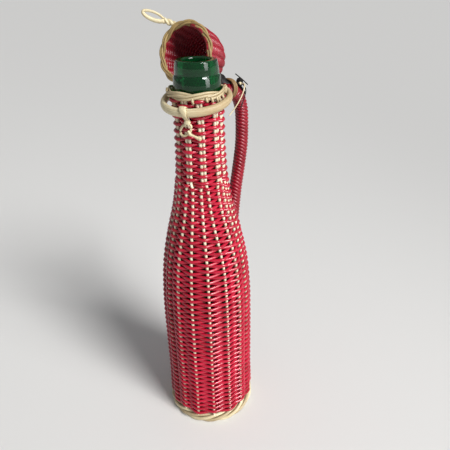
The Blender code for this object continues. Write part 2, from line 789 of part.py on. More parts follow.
def hang_on_hinge(name, items, place_on, parent=None):
    """Parent pieces to an empty on their hinge's axis."""
    pivot = bpy.data.objects.new(name, None)
    bpy.context.scene.collection.objects.link(pivot)
    pivot.location = place_on
    if parent is not None:
        pivot.parent = parent
        pivot.matrix_parent_inverse = Matrix.Translation(-parent.location)
    for item in items:
        item.parent = pivot
        item.matrix_parent_inverse = Matrix.Translation(-place_on)
    return pivot


def hang_cap(group, cord, cane):
    """The cap on its strap hinge, with the latch loop on its own hinge, swung open."""
    swing, hinge, axis = cap_turn()
    cap = hang_on_hinge("cap_hinge", [make_dome(group, cord), *make_rim(group, cane)], hinge)
    angle = math.radians(LOOP_DEG)
    loop_at = cap_centre() + polar(cap_rim_ring(), angle, 0.0)
    hang_on_hinge("loop_hinge", [make_loop(group, cane)], loop_at, cap)
    cap.rotation_euler = swing.to_3x3().to_euler()
    loop_axis = swing.to_3x3() @ polar(1.0, angle + math.pi / 2, 0.0)
    for title, spot, way in (("cap", hinge, axis), ("loop", swing @ loop_at, loop_axis)):
        print(title, "hinge at, m:", [round(v, 6) for v in spot], "axis:", [round(v, 5) for v in way])


def make_strap(group, guides, leather, cane, straw):
    """The strap from the handle's top to the cap, with its lashing, knot and straw end."""
    matrix, hinge, axis = cap_turn()
    clear = HANDLE_CORE_R + WRAP_SEAT_GAP + 2 * WRAP_HALF_THICK + SEAT_GAP + STRAP_HALF_THICK
    points = []
    for i in range(4):
        share = STRAP_SEAT_SHARE + (STRAP_LEAVE_SHARE - STRAP_SEAT_SHARE) * i / 3
        centre, along, outward = handle_frame(share)
        points.append(centre + outward * clear)
    turned_out = matrix.to_3x3() @ polar(1.0, math.radians(CAP_HINGE_DEG), 0.0)
    rim = matrix @ (cap_centre() + polar(cap_rim_ring(), math.radians(CAP_HINGE_DEG), 0.0))
    end = rim + turned_out * STRAP_HINGE_GAP
    leave = points[-1]
    for t in (0.3, 0.6, 0.85, 1.0):
        spot = leave.lerp(end, t)
        spot.z += STRAP_HALF_WIDTH * math.sin(math.pi * t)
        points.append(spot)
    section = make_section("strap_section", oval(STRAP_HALF_WIDTH, STRAP_HALF_THICK, 6), guides)
    item = shaped_tube("cap_strap", points, section, leather, group)
    for slot, width in zip(item.data.splines[0].points, STRAP_WIDTH_SHARES):
        slot.radius = width
    centre, along, outward = handle_frame(LASHING_SHARE)
    side = along.cross(outward).normalized()
    ring_centre = centre + outward * LASHING_RISE
    ring = []
    for i in range(14):
        turn = 2 * math.pi * i / 14
        ring.append(ring_centre + LASHING_R * (math.cos(turn) * outward + math.sin(turn) * side))
    round_tube("strap_lashing", ring, LASHING_CANE_R, cane, group, cyclic=True, resolution=0)
    centre, along, outward = handle_frame(KNOT_PLACE_SHARE)
    knot = centre + outward * (clear + STRAP_HALF_THICK + SEAT_GAP + KNOT_R * KNOT_FLAT_SHARE)
    lump("strap_knot", knot, (KNOT_R, KNOT_R * KNOT_FLAT_SHARE, KNOT_R * KNOT_FLAT_SHARE), 0.0, leather, group)
    bead = knot + Vector((KNOT_R + SEAT_GAP + BEAD_R, 0.0, 0.0))
    lump("knot_bead", bead, (BEAD_R, BEAD_R, BEAD_R), 0.0, straw, group)
    start = bead + Vector((BEAD_R + SEAT_GAP + STRAW_R, 0.0, 0.0))
    fall = [start + Vector((0.0, STRAW_DROP * out, STRAW_DROP * up)) for out, up in STRAW_ROUTE_SHARES]
    round_tube("straw_end", fall, STRAW_R, straw, group, resolution=0)


def build():
    """Make every piece."""
    clear_scene()
    group = make_collection("wicker_bottle")
    guides = make_collection("guides")
    glass = make_material("green_glass", (0.02, 0.16, 0.05), 0.05, transmission=1.0)
    cane = make_material("natural_cane", (0.72, 0.58, 0.34), 0.45)
    cord = make_material("red_cord", (0.60, 0.02, 0.06), 0.25)
    leather = make_material("black_strap", (0.02, 0.02, 0.02), 0.5)
    straw = make_material("pale_straw", (0.80, 0.68, 0.45), 0.55)
    make_glass(group, glass)
    make_base(group, cane)
    make_stakes(group, cane)
    make_weave(group, guides, cord)
    make_borders(group, guides, cane)
    make_hoop(group, cane)
    make_tie(group, guides, cane)
    make_handle(group, cane, cord)
    make_strap(group, guides, leather, cane, straw)
    hang_cap(group, cord, cane)


build()
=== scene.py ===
"""Looks of the wicker-covered bottle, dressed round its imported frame.

Metres, +Z up. The handle is toward +Y and the cap hangs open on its strap.
"""
import json
import logging
import math
from bisect import bisect_left
from collections.abc import Callable
from dataclasses import dataclass, field
from enum import Enum

import bmesh
import bpy
from mathutils import Matrix, Vector, noise

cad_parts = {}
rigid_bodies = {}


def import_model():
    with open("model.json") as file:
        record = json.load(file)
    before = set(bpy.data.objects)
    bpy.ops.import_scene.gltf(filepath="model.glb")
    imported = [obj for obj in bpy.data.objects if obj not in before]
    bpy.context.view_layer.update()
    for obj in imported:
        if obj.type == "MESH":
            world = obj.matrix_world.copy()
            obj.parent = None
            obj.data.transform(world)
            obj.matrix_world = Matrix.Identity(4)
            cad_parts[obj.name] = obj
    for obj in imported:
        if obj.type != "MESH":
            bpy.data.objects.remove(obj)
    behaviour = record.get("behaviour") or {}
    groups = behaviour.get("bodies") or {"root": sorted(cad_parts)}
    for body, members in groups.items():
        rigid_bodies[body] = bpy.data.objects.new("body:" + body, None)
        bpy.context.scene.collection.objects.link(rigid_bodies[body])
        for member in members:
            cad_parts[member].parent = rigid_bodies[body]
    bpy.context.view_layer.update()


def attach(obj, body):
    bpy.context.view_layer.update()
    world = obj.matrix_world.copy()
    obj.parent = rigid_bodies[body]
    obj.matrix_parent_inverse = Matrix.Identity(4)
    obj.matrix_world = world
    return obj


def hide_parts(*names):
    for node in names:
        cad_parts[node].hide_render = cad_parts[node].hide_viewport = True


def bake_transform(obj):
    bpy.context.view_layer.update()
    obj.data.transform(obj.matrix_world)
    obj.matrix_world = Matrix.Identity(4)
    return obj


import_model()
LOG = logging.getLogger("wicker_bottle")

WELD = 0.000002
GRAIN = "grain"
OBJECT = "object"
BOTTLE = "bottle"
CAP = "cap"
LATCH = "latch"
FULL = 2 * math.pi
UP = Vector((0.0, 0.0, 1.0))
END_REACH_SHARE = 0.6
END_SHARES = ((0.5, 0.87), (0.85, 0.55), (1.0, 0.12))

Route = list[Vector]
Object = bpy.types.Object
Mesh = bpy.types.Mesh
Socket = bpy.types.NodeSocket


class Slot(Enum):
    """Material slots of the record."""

    GLASS = "green_glass"
    CORD = "red_cord"
    CANE = "natural_cane"
    STRAP = "black_strap"
    STRAW = "pale_straw"


class CaneTone(Enum):
    """Tones of cane: name, light colour and dark colour, linear."""

    WHITE = ("white", (0.88, 0.83, 0.64), (0.66, 0.56, 0.36))
    CREAM = ("cream", (0.76, 0.68, 0.45), (0.50, 0.38, 0.20))
    PALE = ("pale", (0.57, 0.47, 0.29), (0.30, 0.21, 0.10))
    TAN = ("tan", (0.42, 0.29, 0.115), (0.19, 0.110, 0.040))
    BROWN = ("brown", (0.30, 0.180, 0.070), (0.11, 0.060, 0.022))


def polar(radius: float, angle: float, z: float) -> Vector:
    """A point from its distance to the axis, its angle and its height."""
    return Vector((radius * math.cos(angle), radius * math.sin(angle), z))


def smooth_step(t: float) -> float:
    """0 to 1 with level ends."""
    t = min(1.0, max(0.0, t))
    return t * t * (3.0 - 2.0 * t)


def between(places: list[float], x: float) -> tuple[int, float]:
    """The step of a rising list that x falls in, and how far along it x lies."""
    k = min(max(bisect_left(places, x) - 1, 0), len(places) - 2)
    return k, (x - places[k]) / (places[k + 1] - places[k])


def ladder(stations: tuple, x: float) -> float:
    """Straight steps between stations of x and y, and on past the last."""
    k, t = between([place for place, _ in stations], x)
    return stations[k][1] + (stations[k + 1][1] - stations[k][1]) * t


def hermite(stations: tuple, x: float) -> float:
    """A smooth curve through stations, with level ends.

    Args:
        stations: pairs of x and y, x rising.
        x: where to read the curve.

    Returns:
        The height of the curve at x.
    """
    last = len(stations) - 1
    i, t = between([place for place, _ in stations], min(max(x, stations[0][0]), stations[last][0]))
    slopes = []
    for k in (i, i + 1):
        (x0, y0), (x1, y1) = stations[max(k - 1, 0)], stations[min(k + 1, last)]
        slopes.append(0.0 if k in (0, last) else (y1 - y0) / (x1 - x0))
    (x0, y0), (x1, y1) = stations[i], stations[i + 1]
    start = (y0 * (1 + 2 * t) + slopes[0] * (x1 - x0) * t) * (1 - t) ** 2
    return start + (y1 * (3 - 2 * t) + slopes[1] * (x1 - x0) * (t - 1)) * t * t


def spline_point(stations: Route, t: float) -> Vector:
    """A point at share t of a smooth curve through evenly counted stations."""
    last = len(stations) - 1
    along = min(max(t, 0.0), 1.0) * last
    i = min(int(along), last - 1)
    u = along - i
    a, b, c, d = stations[max(i - 1, 0)], stations[i], stations[i + 1], stations[min(i + 2, last)]
    square = 2 * a - 5 * b + 4 * c - d
    cube = 3 * b - a - 3 * c + d
    return 0.5 * (2 * b + (c - a) * u + square * u ** 2 + cube * u ** 3)


def smooth_route(stations: Route, count: int) -> Route:
    """Points along a smooth curve through the stations."""
    return [spline_point(stations, i / (count - 1)) for i in range(count)]


def by_share(count: int, rule: Callable[[float], float]) -> list[float]:
    """A value for each of so many points, from its share of the way."""
    return [rule(i / (count - 1)) for i in range(count)]


def taper(count: int, loss: float, start: float, over: float) -> list[float]:
    """Shares that fall smoothly by a loss, from a share of the way on and over another."""
    return by_share(count, lambda t: 1.0 - loss * smooth_step((t - start) / over))


def lengths_along(route: Route) -> list[float]:
    """Length from the first point of a route to each of its points."""
    lengths = [0.0]
    for a, b in zip(route, route[1:]):
        lengths.append(lengths[-1] + (b - a).length)
    return lengths


def wobble(spot: Vector, scale: float, seed: float) -> float:
    """A smooth wander between about -1 and 1 that depends only on the place."""
    return noise.noise(spot * scale + Vector((seed, 2.3 * seed, -1.7 * seed)))


def linked(name: str, data: bpy.types.ID) -> Object:
    """A new object for the data, in the scene."""
    item = bpy.data.objects.new(name, data)
    bpy.context.scene.collection.objects.link(item)
    return item


def mesh_of(name: str, bm: bmesh.types.BMesh) -> Mesh:
    """A new mesh from finished mesh code."""
    mesh = bpy.data.meshes.new(name)
    bm.to_mesh(mesh)
    bm.free()
    return mesh


@dataclass
class Strand:
    """A length of cord or cane along a route, kept as a closed mesh."""

    name: str
    route: Route
    radius: float
    flat: float = 1.0
    sides: int = 10
    cyclic: bool = False
    shares: list[float] | None = None
    tilts: list[float] | None = None
    upright: bool = True
    across: Vector | None = None

    def rounded(self) -> tuple[Route, list[float]]:
        """The route and its radius shares, with a few points more that round both ends."""
        route, shares = list(self.route), list(self.shares or [1.0] * len(self.route))
        if self.cyclic:
            return route, shares
        tips = []
        for spot, near, share in ((route[0], route[1], shares[0]), (route[-1], route[-2], shares[-1])):
            way = (spot - near).normalized() * (self.radius * share * END_REACH_SHARE)
            tips.append([(spot + way * step, share * thin) for step, thin in END_SHARES])
        path = tips[0][::-1] + list(zip(route, shares)) + tips[1]
        return [spot for spot, _ in path], [share for _, share in path]

    def band(self, route: Route, shares: list[float]) -> Mesh:
        """A flat strip swept along the route, its width kept in one direction."""
        bm = bmesh.new()
        rings = []
        for i, (spot, share) in enumerate(zip(route, shares)):
            along = (route[min(i + 1, len(route) - 1)] - route[max(i - 1, 0)]).normalized()
            face = along.cross(self.across).normalized()
            ring = []
            for k in range(self.sides):
                turn = FULL * k / self.sides
                wide = self.radius * share * math.cos(turn)
                thick = self.radius * self.flat * share * math.sin(turn)
                ring.append(bm.verts.new(spot + self.across * wide + face * thick))
            rings.append(ring)
        for low, high in zip(rings, rings[1:]):
            for k in range(self.sides):
                after = (k + 1) % self.sides
                bm.faces.new((low[k], low[after], high[after], high[k]))
        bm.faces.new(rings[0])
        bm.faces.new(rings[-1])
        return mesh_of(self.name, bm)

    def section(self) -> Object:
        """A flat outline, outward by up, for a cane that isn't round."""
        curve = bpy.data.curves.new(self.name + "_section", "CURVE")
        curve.dimensions = "2D"
        spline = curve.splines.new("POLY")
        spline.points.add(self.sides - 1)
        for i, point in enumerate(spline.points):
            spot = polar(self.radius, -FULL * i / self.sides, 0.0)
            point.co = (spot.x * self.flat, spot.y, 0.0, 1.0)
        spline.use_cyclic_u = True
        return linked(curve.name, curve)

    def tube(self, route: Route, shares: list[float]) -> Mesh:
        """A round cane, or one with the flat section, swept along the route."""
        curve = bpy.data.curves.new(self.name, "CURVE")
        curve.dimensions = "3D"
        curve.twist_mode = "Z_UP" if self.upright else "MINIMUM"
        curve.use_fill_caps = not self.cyclic
        spline = curve.splines.new("POLY")
        spline.points.add(len(route) - 1)
        spline.use_cyclic_u = self.cyclic
        added = (len(route) - len(self.route)) // 2
        for i, (point, spot, share) in enumerate(zip(spline.points, route, shares)):
            point.co = (*spot, 1.0)
            point.radius = share
            if self.tilts:
                point.tilt = self.tilts[min(max(i - added, 0), len(self.tilts) - 1)]
        used = [linked(self.name + "_curve", curve)]
        if self.flat == 1.0:
            curve.bevel_depth = self.radius
            curve.bevel_resolution = (self.sides - 4) // 2
        else:
            used.append(self.section())
            curve.bevel_mode = "OBJECT"
            curve.bevel_object = used[1]
        graph = bpy.context.evaluated_depsgraph_get()
        mesh = bpy.data.meshes.new_from_object(used[0].evaluated_get(graph))
        mesh.name = self.name
        bpy.data.batch_remove(used + [item.data for item in used])
        return mesh

    def build(self) -> Object:
        """The strand as a closed mesh, with its grain written on its points.

        Returns:
            The object, at the origin.
        """
        route, shares = self.rounded()
        mesh = self.tube(route, shares) if self.across is None else self.band(route, shares)
        self.write_grain(mesh, route, shares)
        return keep_mesh(self.name, mesh)

    def write_grain(self, mesh: Mesh, route: Route, shares: list[float]) -> None:
        """Write how far along and round the strand each point lies, for fibres and streaks."""
        lengths = lengths_along(route)
        if self.cyclic:
            lengths = [min(far, lengths[-1] - far) for far in lengths]
        last = len(route) - 1
        values = []
        for i, vert in enumerate(mesh.vertices):
            ring = i // self.sides
            if ring > last:
                ring = 0 if (vert.co - route[0]).length < (vert.co - route[-1]).length else last
            side = polar(self.radius * shares[ring], FULL * (i % self.sides) / self.sides, 0.0)
            values.extend((lengths[ring], side.x, side.y))
        mesh.attributes.new(GRAIN, "FLOAT_VECTOR", "POINT").data.foreach_set("vector", values)


def keep_mesh(name: str, mesh: Mesh) -> Object:
    """Weld a mesh, turn its faces outward, smooth it and link it as an object."""
    bm = bmesh.new()
    bm.from_mesh(mesh)
    bmesh.ops.remove_doubles(bm, verts=bm.verts, dist=WELD)
    bmesh.ops.recalc_face_normals(bm, faces=bm.faces)
    bm.to_mesh(mesh)
    bm.free()
    mesh.shade_smooth()
    mesh.materials.clear()
    return linked(name, mesh)


def join(name: str, items: list[Object]) -> Object:
    """One object of several meshes."""
    bm = bmesh.new()
    for item in items:
        bm.from_mesh(item.data)
    mesh = mesh_of(name, bm)
    mesh.shade_smooth()
    bpy.data.batch_remove(items + [item.data for item in items])
    return linked(name, mesh)


def lump(name: str, centre: Vector, radii: tuple, turn: Matrix | None = None, rough: float = 0.08) -> Object:
    """A rounded lump, such as a knot or a bead.

    Args:
        name: name of the piece.
        centre: its middle.
        radii: its three half sizes.
        turn: turns the lump, or none.
        rough: how uneven it is, as a share of its size.

    Returns:
        The object, at the origin.
    """
    bm = bmesh.new()
    bmesh.ops.create_icosphere(bm, subdivisions=3, radius=1.0)
    for vert in bm.verts:
        vert.co *= 1.0 + rough * wobble(vert.co, 1.6, centre.z * 400)
    grain = bm.verts.layers.float_vector.new(GRAIN)
    bmesh.ops.scale(bm, vec=radii, verts=bm.verts)
    for vert in bm.verts:
        vert[grain] = vert.co
    bmesh.ops.transform(bm, matrix=Matrix.Translation(centre) @ (turn or Matrix()), verts=bm.verts)
    return keep_mesh(name, mesh_of(name, bm))


def transformed(item: Object, matrix: Matrix) -> Object:
    """Put a piece in its place by moving its mesh."""
    item.data.transform(matrix)
    item.data.update()
    return item


class NodeKit:
    """Short calls that place and join the nodes of one material."""

    def __init__(self, name: str) -> None:
        """Start a material with its own shader."""
        self.material = bpy.data.materials.new(name)
        self.material.use_nodes = True
        self.tree = self.material.node_tree
        self.shader = self.tree.nodes["Principled BSDF"]

    def node(self, kind: str, values: dict | None = None, **settings: object) -> bpy.types.Node:
        """A node of a kind with the values of its inputs and its settings."""
        made = self.tree.nodes.new(kind)
        for key, value in settings.items():
            setattr(made, key, value)
        for key, value in (values or {}).items():
            made.inputs[key].default_value = value
        return made

    def link(self, start: Socket, end: Socket) -> None:
        """Join two sockets."""
        self.tree.links.new(start, end)

    def feed(self, **values: object) -> None:
        """Give the shader's inputs, named with _ for a space, a socket or a value each."""
        for key, value in values.items():
            slot = self.shader.inputs[key.replace("_", " ")]
            if isinstance(value, Socket):
                self.link(value, slot)
            else:
                slot.default_value = value

    def axis(self, name: str) -> Socket:
        """One of the object's own coordinates."""
        split = self.node("ShaderNodeSeparateXYZ")
        self.link(self.node("ShaderNodeTexCoord").outputs["Object"], split.inputs["Vector"])
        return split.outputs[name]

    def cloud(self, source: str, scale: tuple, detail: float = 3.0, rough: float = 0.55) -> Socket:
        """Noise on the coordinates of the object or of the grain, scaled on each axis."""
        if source == GRAIN:
            start = self.node("ShaderNodeAttribute", attribute_name=GRAIN).outputs["Vector"]
        else:
            start = self.node("ShaderNodeTexCoord").outputs["Object"]
        mapping = self.node("ShaderNodeMapping", {"Scale": scale})
        self.link(start, mapping.inputs["Vector"])
        made = self.node("ShaderNodeTexNoise", {"Scale": 1.0, "Detail": detail, "Roughness": rough})
        self.link(mapping.outputs["Vector"], made.inputs["Vector"])
        return made.outputs["Fac"]

    def spread(
        self, value: Socket, low: float, high: float, to_low: float = 0.0, to_high: float = 1.0
    ) -> Socket:
        """Map a range of a value onto another range."""
        ends = {"From Min": low, "From Max": high, "To Min": to_low, "To Max": to_high}
        made = self.node("ShaderNodeMapRange", ends)
        self.link(value, made.inputs["Value"])
        return made.outputs["Result"]

    def mix(self, share: Socket, first: object, second: object) -> Socket:
        """Mix two colours, each a socket or a colour."""
        made = self.node("ShaderNodeMix", data_type="RGBA")
        self.link(share, made.inputs[0])
        for slot, value in ((6, first), (7, second)):
            if isinstance(value, tuple):
                made.inputs[slot].default_value = (*value, 1.0)
            else:
                self.link(value, made.inputs[slot])
        return made.outputs[2]

    def bump(self, height: Socket, strength: float, distance: float) -> None:
        """A bump on the shader."""
        made = self.node("ShaderNodeBump", {"Strength": strength, "Distance": distance})
        self.link(height, made.inputs["Height"])
        self.feed(Normal=made.outputs["Normal"])


@dataclass(frozen=True)
class CordFinish:
    """Glossy red plastic cord."""

    name: str = "red_cord_gloss"
    colour: tuple = (0.490, 0.008, 0.036)
    deep: tuple = (0.370, 0.005, 0.022)
    roughness: float = 0.22
    coat: float = 0.35
    streak_depth: float = 0.00005

    def build(self) -> bpy.types.Material:
        """The material."""
        kit = NodeKit(self.name)
        patches = kit.spread(kit.cloud(OBJECT, (55, 55, 55), 2.0), 0.38, 0.66)
        streaks = kit.cloud(GRAIN, (120, 1400, 1400))
        kit.feed(
            Base_Color=kit.mix(patches, self.colour, self.deep),
            Roughness=kit.spread(streaks, 0.3, 0.7, self.roughness - 0.05, self.roughness + 0.09),
            Coat_Weight=self.coat, Coat_Roughness=0.10,
        )
        kit.bump(streaks, 0.05, self.streak_depth)
        return kit.material


@dataclass(frozen=True)
class CaneFinish:
    """Natural cane with long fibres."""

    tone: CaneTone
    roughness: float = 0.46
    stain_from: float | None = None
    stain_width: float = 0.012
    fibre_depth: float = 0.00025

    def build(self) -> bpy.types.Material:
        """The material."""
        title, light, dark = self.tone.value
        kit = NodeKit(f"cane_{title}" if self.stain_from is None else f"cane_{title}_stained")
        fibre = kit.cloud(GRAIN, (60, 1500, 1500), 5.0, 0.68)
        patch = kit.spread(kit.cloud(OBJECT, (75, 75, 75), 4.0, 0.6), 0.47, 0.70, 0.0, 0.8)
        body = kit.mix(kit.spread(fibre, 0.42, 0.66, 0.0, 0.85), light, dark)
        stained = kit.mix(patch, body, tuple(0.35 * a + 0.65 * b for a, b in zip(light, dark)))
        if self.stain_from is not None:
            side = kit.spread(kit.axis("X"), self.stain_from, self.stain_from + self.stain_width, 0.0, 0.62)
            stained = kit.mix(side, stained, CaneTone.BROWN.value[1])
        rough = kit.spread(fibre, 0.3, 0.7, self.roughness - 0.08, self.roughness + 0.14)
        kit.feed(Base_Color=stained, Roughness=rough)
        kit.bump(fibre, 0.6, self.fibre_depth)
        return kit.material


@dataclass(frozen=True)
class GlassFinish:
    """Dark green bottle glass."""

    name: str = "green_bottle_glass"
    colour: tuple = (0.004, 0.140, 0.034)
    roughness: float = 0.03
    ripple_depth: float = 0.0004

    def build(self) -> bpy.types.Material:
        """The material."""
        kit = NodeKit(self.name)
        ripple = kit.cloud(OBJECT, (120, 120, 45), 2.0)
        kit.feed(
            Base_Color=(*self.colour, 1.0), Transmission_Weight=0.84, IOR=1.5, Specular_IOR_Level=0.5,
            Roughness=kit.spread(ripple, 0.3, 0.7, self.roughness, self.roughness + 0.05),
        )
        kit.bump(ripple, 0.25, self.ripple_depth)
        return kit.material


@dataclass(frozen=True)
class StrapFinish:
    """Worn near-black leather."""

    name: str = "black_strap_leather"
    colour: tuple = (0.007, 0.006, 0.006)
    worn: tuple = (0.026, 0.020, 0.017)
    pore_depth: float = 0.0002

    def build(self) -> bpy.types.Material:
        """The material."""
        kit = NodeKit(self.name)
        pores = kit.cloud(OBJECT, (1500, 1500, 1500), 4.0, 0.6)
        wear = kit.spread(kit.cloud(OBJECT, (260, 260, 260)), 0.5, 0.75)
        kit.feed(
            Base_Color=kit.mix(wear, self.colour, self.worn), Specular_IOR_Level=0.25,
            Roughness=kit.spread(pores, 0.3, 0.7, 0.42, 0.66),
        )
        kit.bump(pores, 0.5, self.pore_depth)
        return kit.material


@dataclass(frozen=True)
class FloorFinish:
    """Plain pale floor."""

    name: str = "pale_floor"
    colour: tuple = (0.74, 0.73, 0.71)

    def build(self) -> bpy.types.Material:
        """The material."""
        kit = NodeKit(self.name)
        kit.feed(Base_Color=(*self.colour, 1.0), Roughness=0.85)
        return kit.material


class Finishes:
    """Every finish, made once."""

    def __init__(self) -> None:
        """Build the materials."""
        self.cord = CordFinish().build()
        # Painted shade: a darker copy of the same red cord, for the handle winding and the cap dome, drawn
        # darker as if they lay in more shadow.
        self.shaded_cord = CordFinish(
            "red_cord_painted_shade", (0.300, 0.004, 0.018), (0.220, 0.003, 0.012), roughness=0.34, coat=0.12
        ).build()
        self.glass = GlassFinish().build()
        self.strap = StrapFinish().build()
        self.cane = {tone: CaneFinish(tone).build() for tone in CaneTone}
        self.hoop = CaneFinish(CaneTone.CREAM, stain_from=0.0060).build()
        self.floor = FloorFinish().build()


@dataclass
class Assembly:
    """A sub-assembly, with the finishes that its pieces take."""

    finishes: Finishes

    def dress(
        self, item: Object, material: bpy.types.Material, slot: Slot, *nodes: str, body: str = BOTTLE
    ) -> None:
        """Give a piece its material, its body and the nodes that it stands for."""
        item.data.materials.append(material)
        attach(item, body)
        if nodes:
            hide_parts(*nodes)
        LOG.info("%s: %d faces", item.name, len(item.data.polygons))

    def cane(self, item: Object, tone: CaneTone, *nodes: str, body: str = BOTTLE) -> None:
        """Dress a piece of cane."""
        self.dress(item, self.finishes.cane[tone], Slot.CANE, *nodes, body=body)


@dataclass
class JacketShape:
    """Outline of the woven jacket and the places of its stakes."""

    top_z: float = 0.2785
    body_r: float = 0.0365
    neck_r: float = 0.0181
    outline_shares: tuple = (
        (0.00, 1.04), (0.03, 1.05), (0.14, 1.01), (0.29, 1.00), (0.43, 0.973), (0.54, 0.842),
        (0.63, 0.598), (0.72, 0.261), (0.81, 0.071), (0.90, 0.005), (1.00, 0.00),
    )
    stakes: int = 17
    columns: int = 9
    first_stake: float = math.radians(-218.5)
    first_column: float = math.radians(-205.3)
    spread_foot_z: float = 0.1500
    split_foot_z: float = 0.2170
    split_top_z: float = 0.2215
    split_half_share: float = 0.74
    pair_half: float = 0.00106
    cord_r: float = 0.00119
    reach: float = 0.00165
    turn_share: float = 0.22
    sag_share: float = 0.35
    sway: float = 0.0009
    sway_angle: float = math.radians(205.0)
    sway_foot_z: float = 0.2600
    flare: float = 0.0007
    stake_leans: tuple = (0, 0, 0, 0, -1, -2, -3.2, -3, -1, 2, 3.2, 2.5, 1, 0, 0, 0, 0)
    column_leans: tuple = (0, 0, 7, 4, -2, -2, -16, -7, 0)

    def lift(self, off: float, flat: float, step: float, ring: float, outside: bool) -> float:
        """How far a row stands off the ring of stakes: taut between them, turned at each.

        Args:
            off: distance to the nearest stake or pair, along the row.
            flat: half of the length that lies level over a pair.
            step: angle from this stake to the next.
            ring: radius of the ring of stakes.
            outside: whether the row passes outside that stake.

        Returns:
            The distance off the ring.
        """
        t = min(1.0, max(0.0, abs(off) - flat) / (step * ring / 2 - flat))
        soft = self.turn_share
        fall = (math.hypot(t, soft) - soft) / (math.hypot(1.0, soft) - soft)
        end = self.reach if outside else -self.reach
        sag = self.sag_share * ring * (1.0 - math.cos(step / 2))
        return end * (1.0 - fall) - sag * t * (2.0 - t)

    def top_share(self, z: float) -> float:
        """0 up the neck to 1 at the top of the weave."""
        return smooth_step((z - self.sway_foot_z) / (self.top_z - self.sway_foot_z))

    def move(self, z: float) -> Vector:
        """How far the neck of the weave leans to one side."""
        return polar(self.sway * self.top_share(z), self.sway_angle, 0.0)

    def radius(self, z: float) -> float:
        """Outside radius of the jacket at a height."""
        share = hermite(self.outline_shares, z / self.top_z)
        return self.neck_r + (self.body_r - self.neck_r) * share + self.flare * self.top_share(z)

    def ring(self, z: float) -> float:
        """Radius of the ring that the stakes stand on."""
        return self.radius(z) - self.cord_r - self.reach

    def rise(self, z: float) -> float:
        """0 where the stakes stand evenly round the body to 1 where they are in pairs."""
        return smooth_step((z - self.spread_foot_z) / (self.split_top_z - self.spread_foot_z))

    def column_angle(self, column: int, z: float) -> float:
        """Direction of a pair's middle at a height."""
        body = self.first_stake + FULL / self.stakes * (2 * column + 0.5)
        lean = math.radians(self.column_leans[column % self.columns])
        neck = self.first_column + FULL / self.columns * column + lean
        return body + (neck - body) * self.rise(z)

    def stake_angle(self, index: int, z: float) -> float:
        """Direction of one stake at a height: spread over the body, in pairs up the neck."""
        turn, index = divmod(index, self.stakes)
        step = FULL / self.stakes
        left = 1 - self.rise(z)
        lean = math.radians(self.stake_leans[index]) * left
        centre = self.column_angle(index // 2, z) + FULL * turn + lean
        if index == self.stakes - 1:
            return centre - step / 2 * left
        climb = smooth_step((z - self.spread_foot_z) / (self.split_foot_z - self.spread_foot_z))
        foot_half = step / 2 * (1 - (1 - self.split_half_share) * climb)
        neck_half = self.pair_half / self.ring(z)
        t = min(1.0, max(0.0, (z - self.split_foot_z) / (self.split_top_z - self.split_foot_z)))
        half = foot_half + (neck_half - foot_half) * t
        return centre + (half if index % 2 else -half)


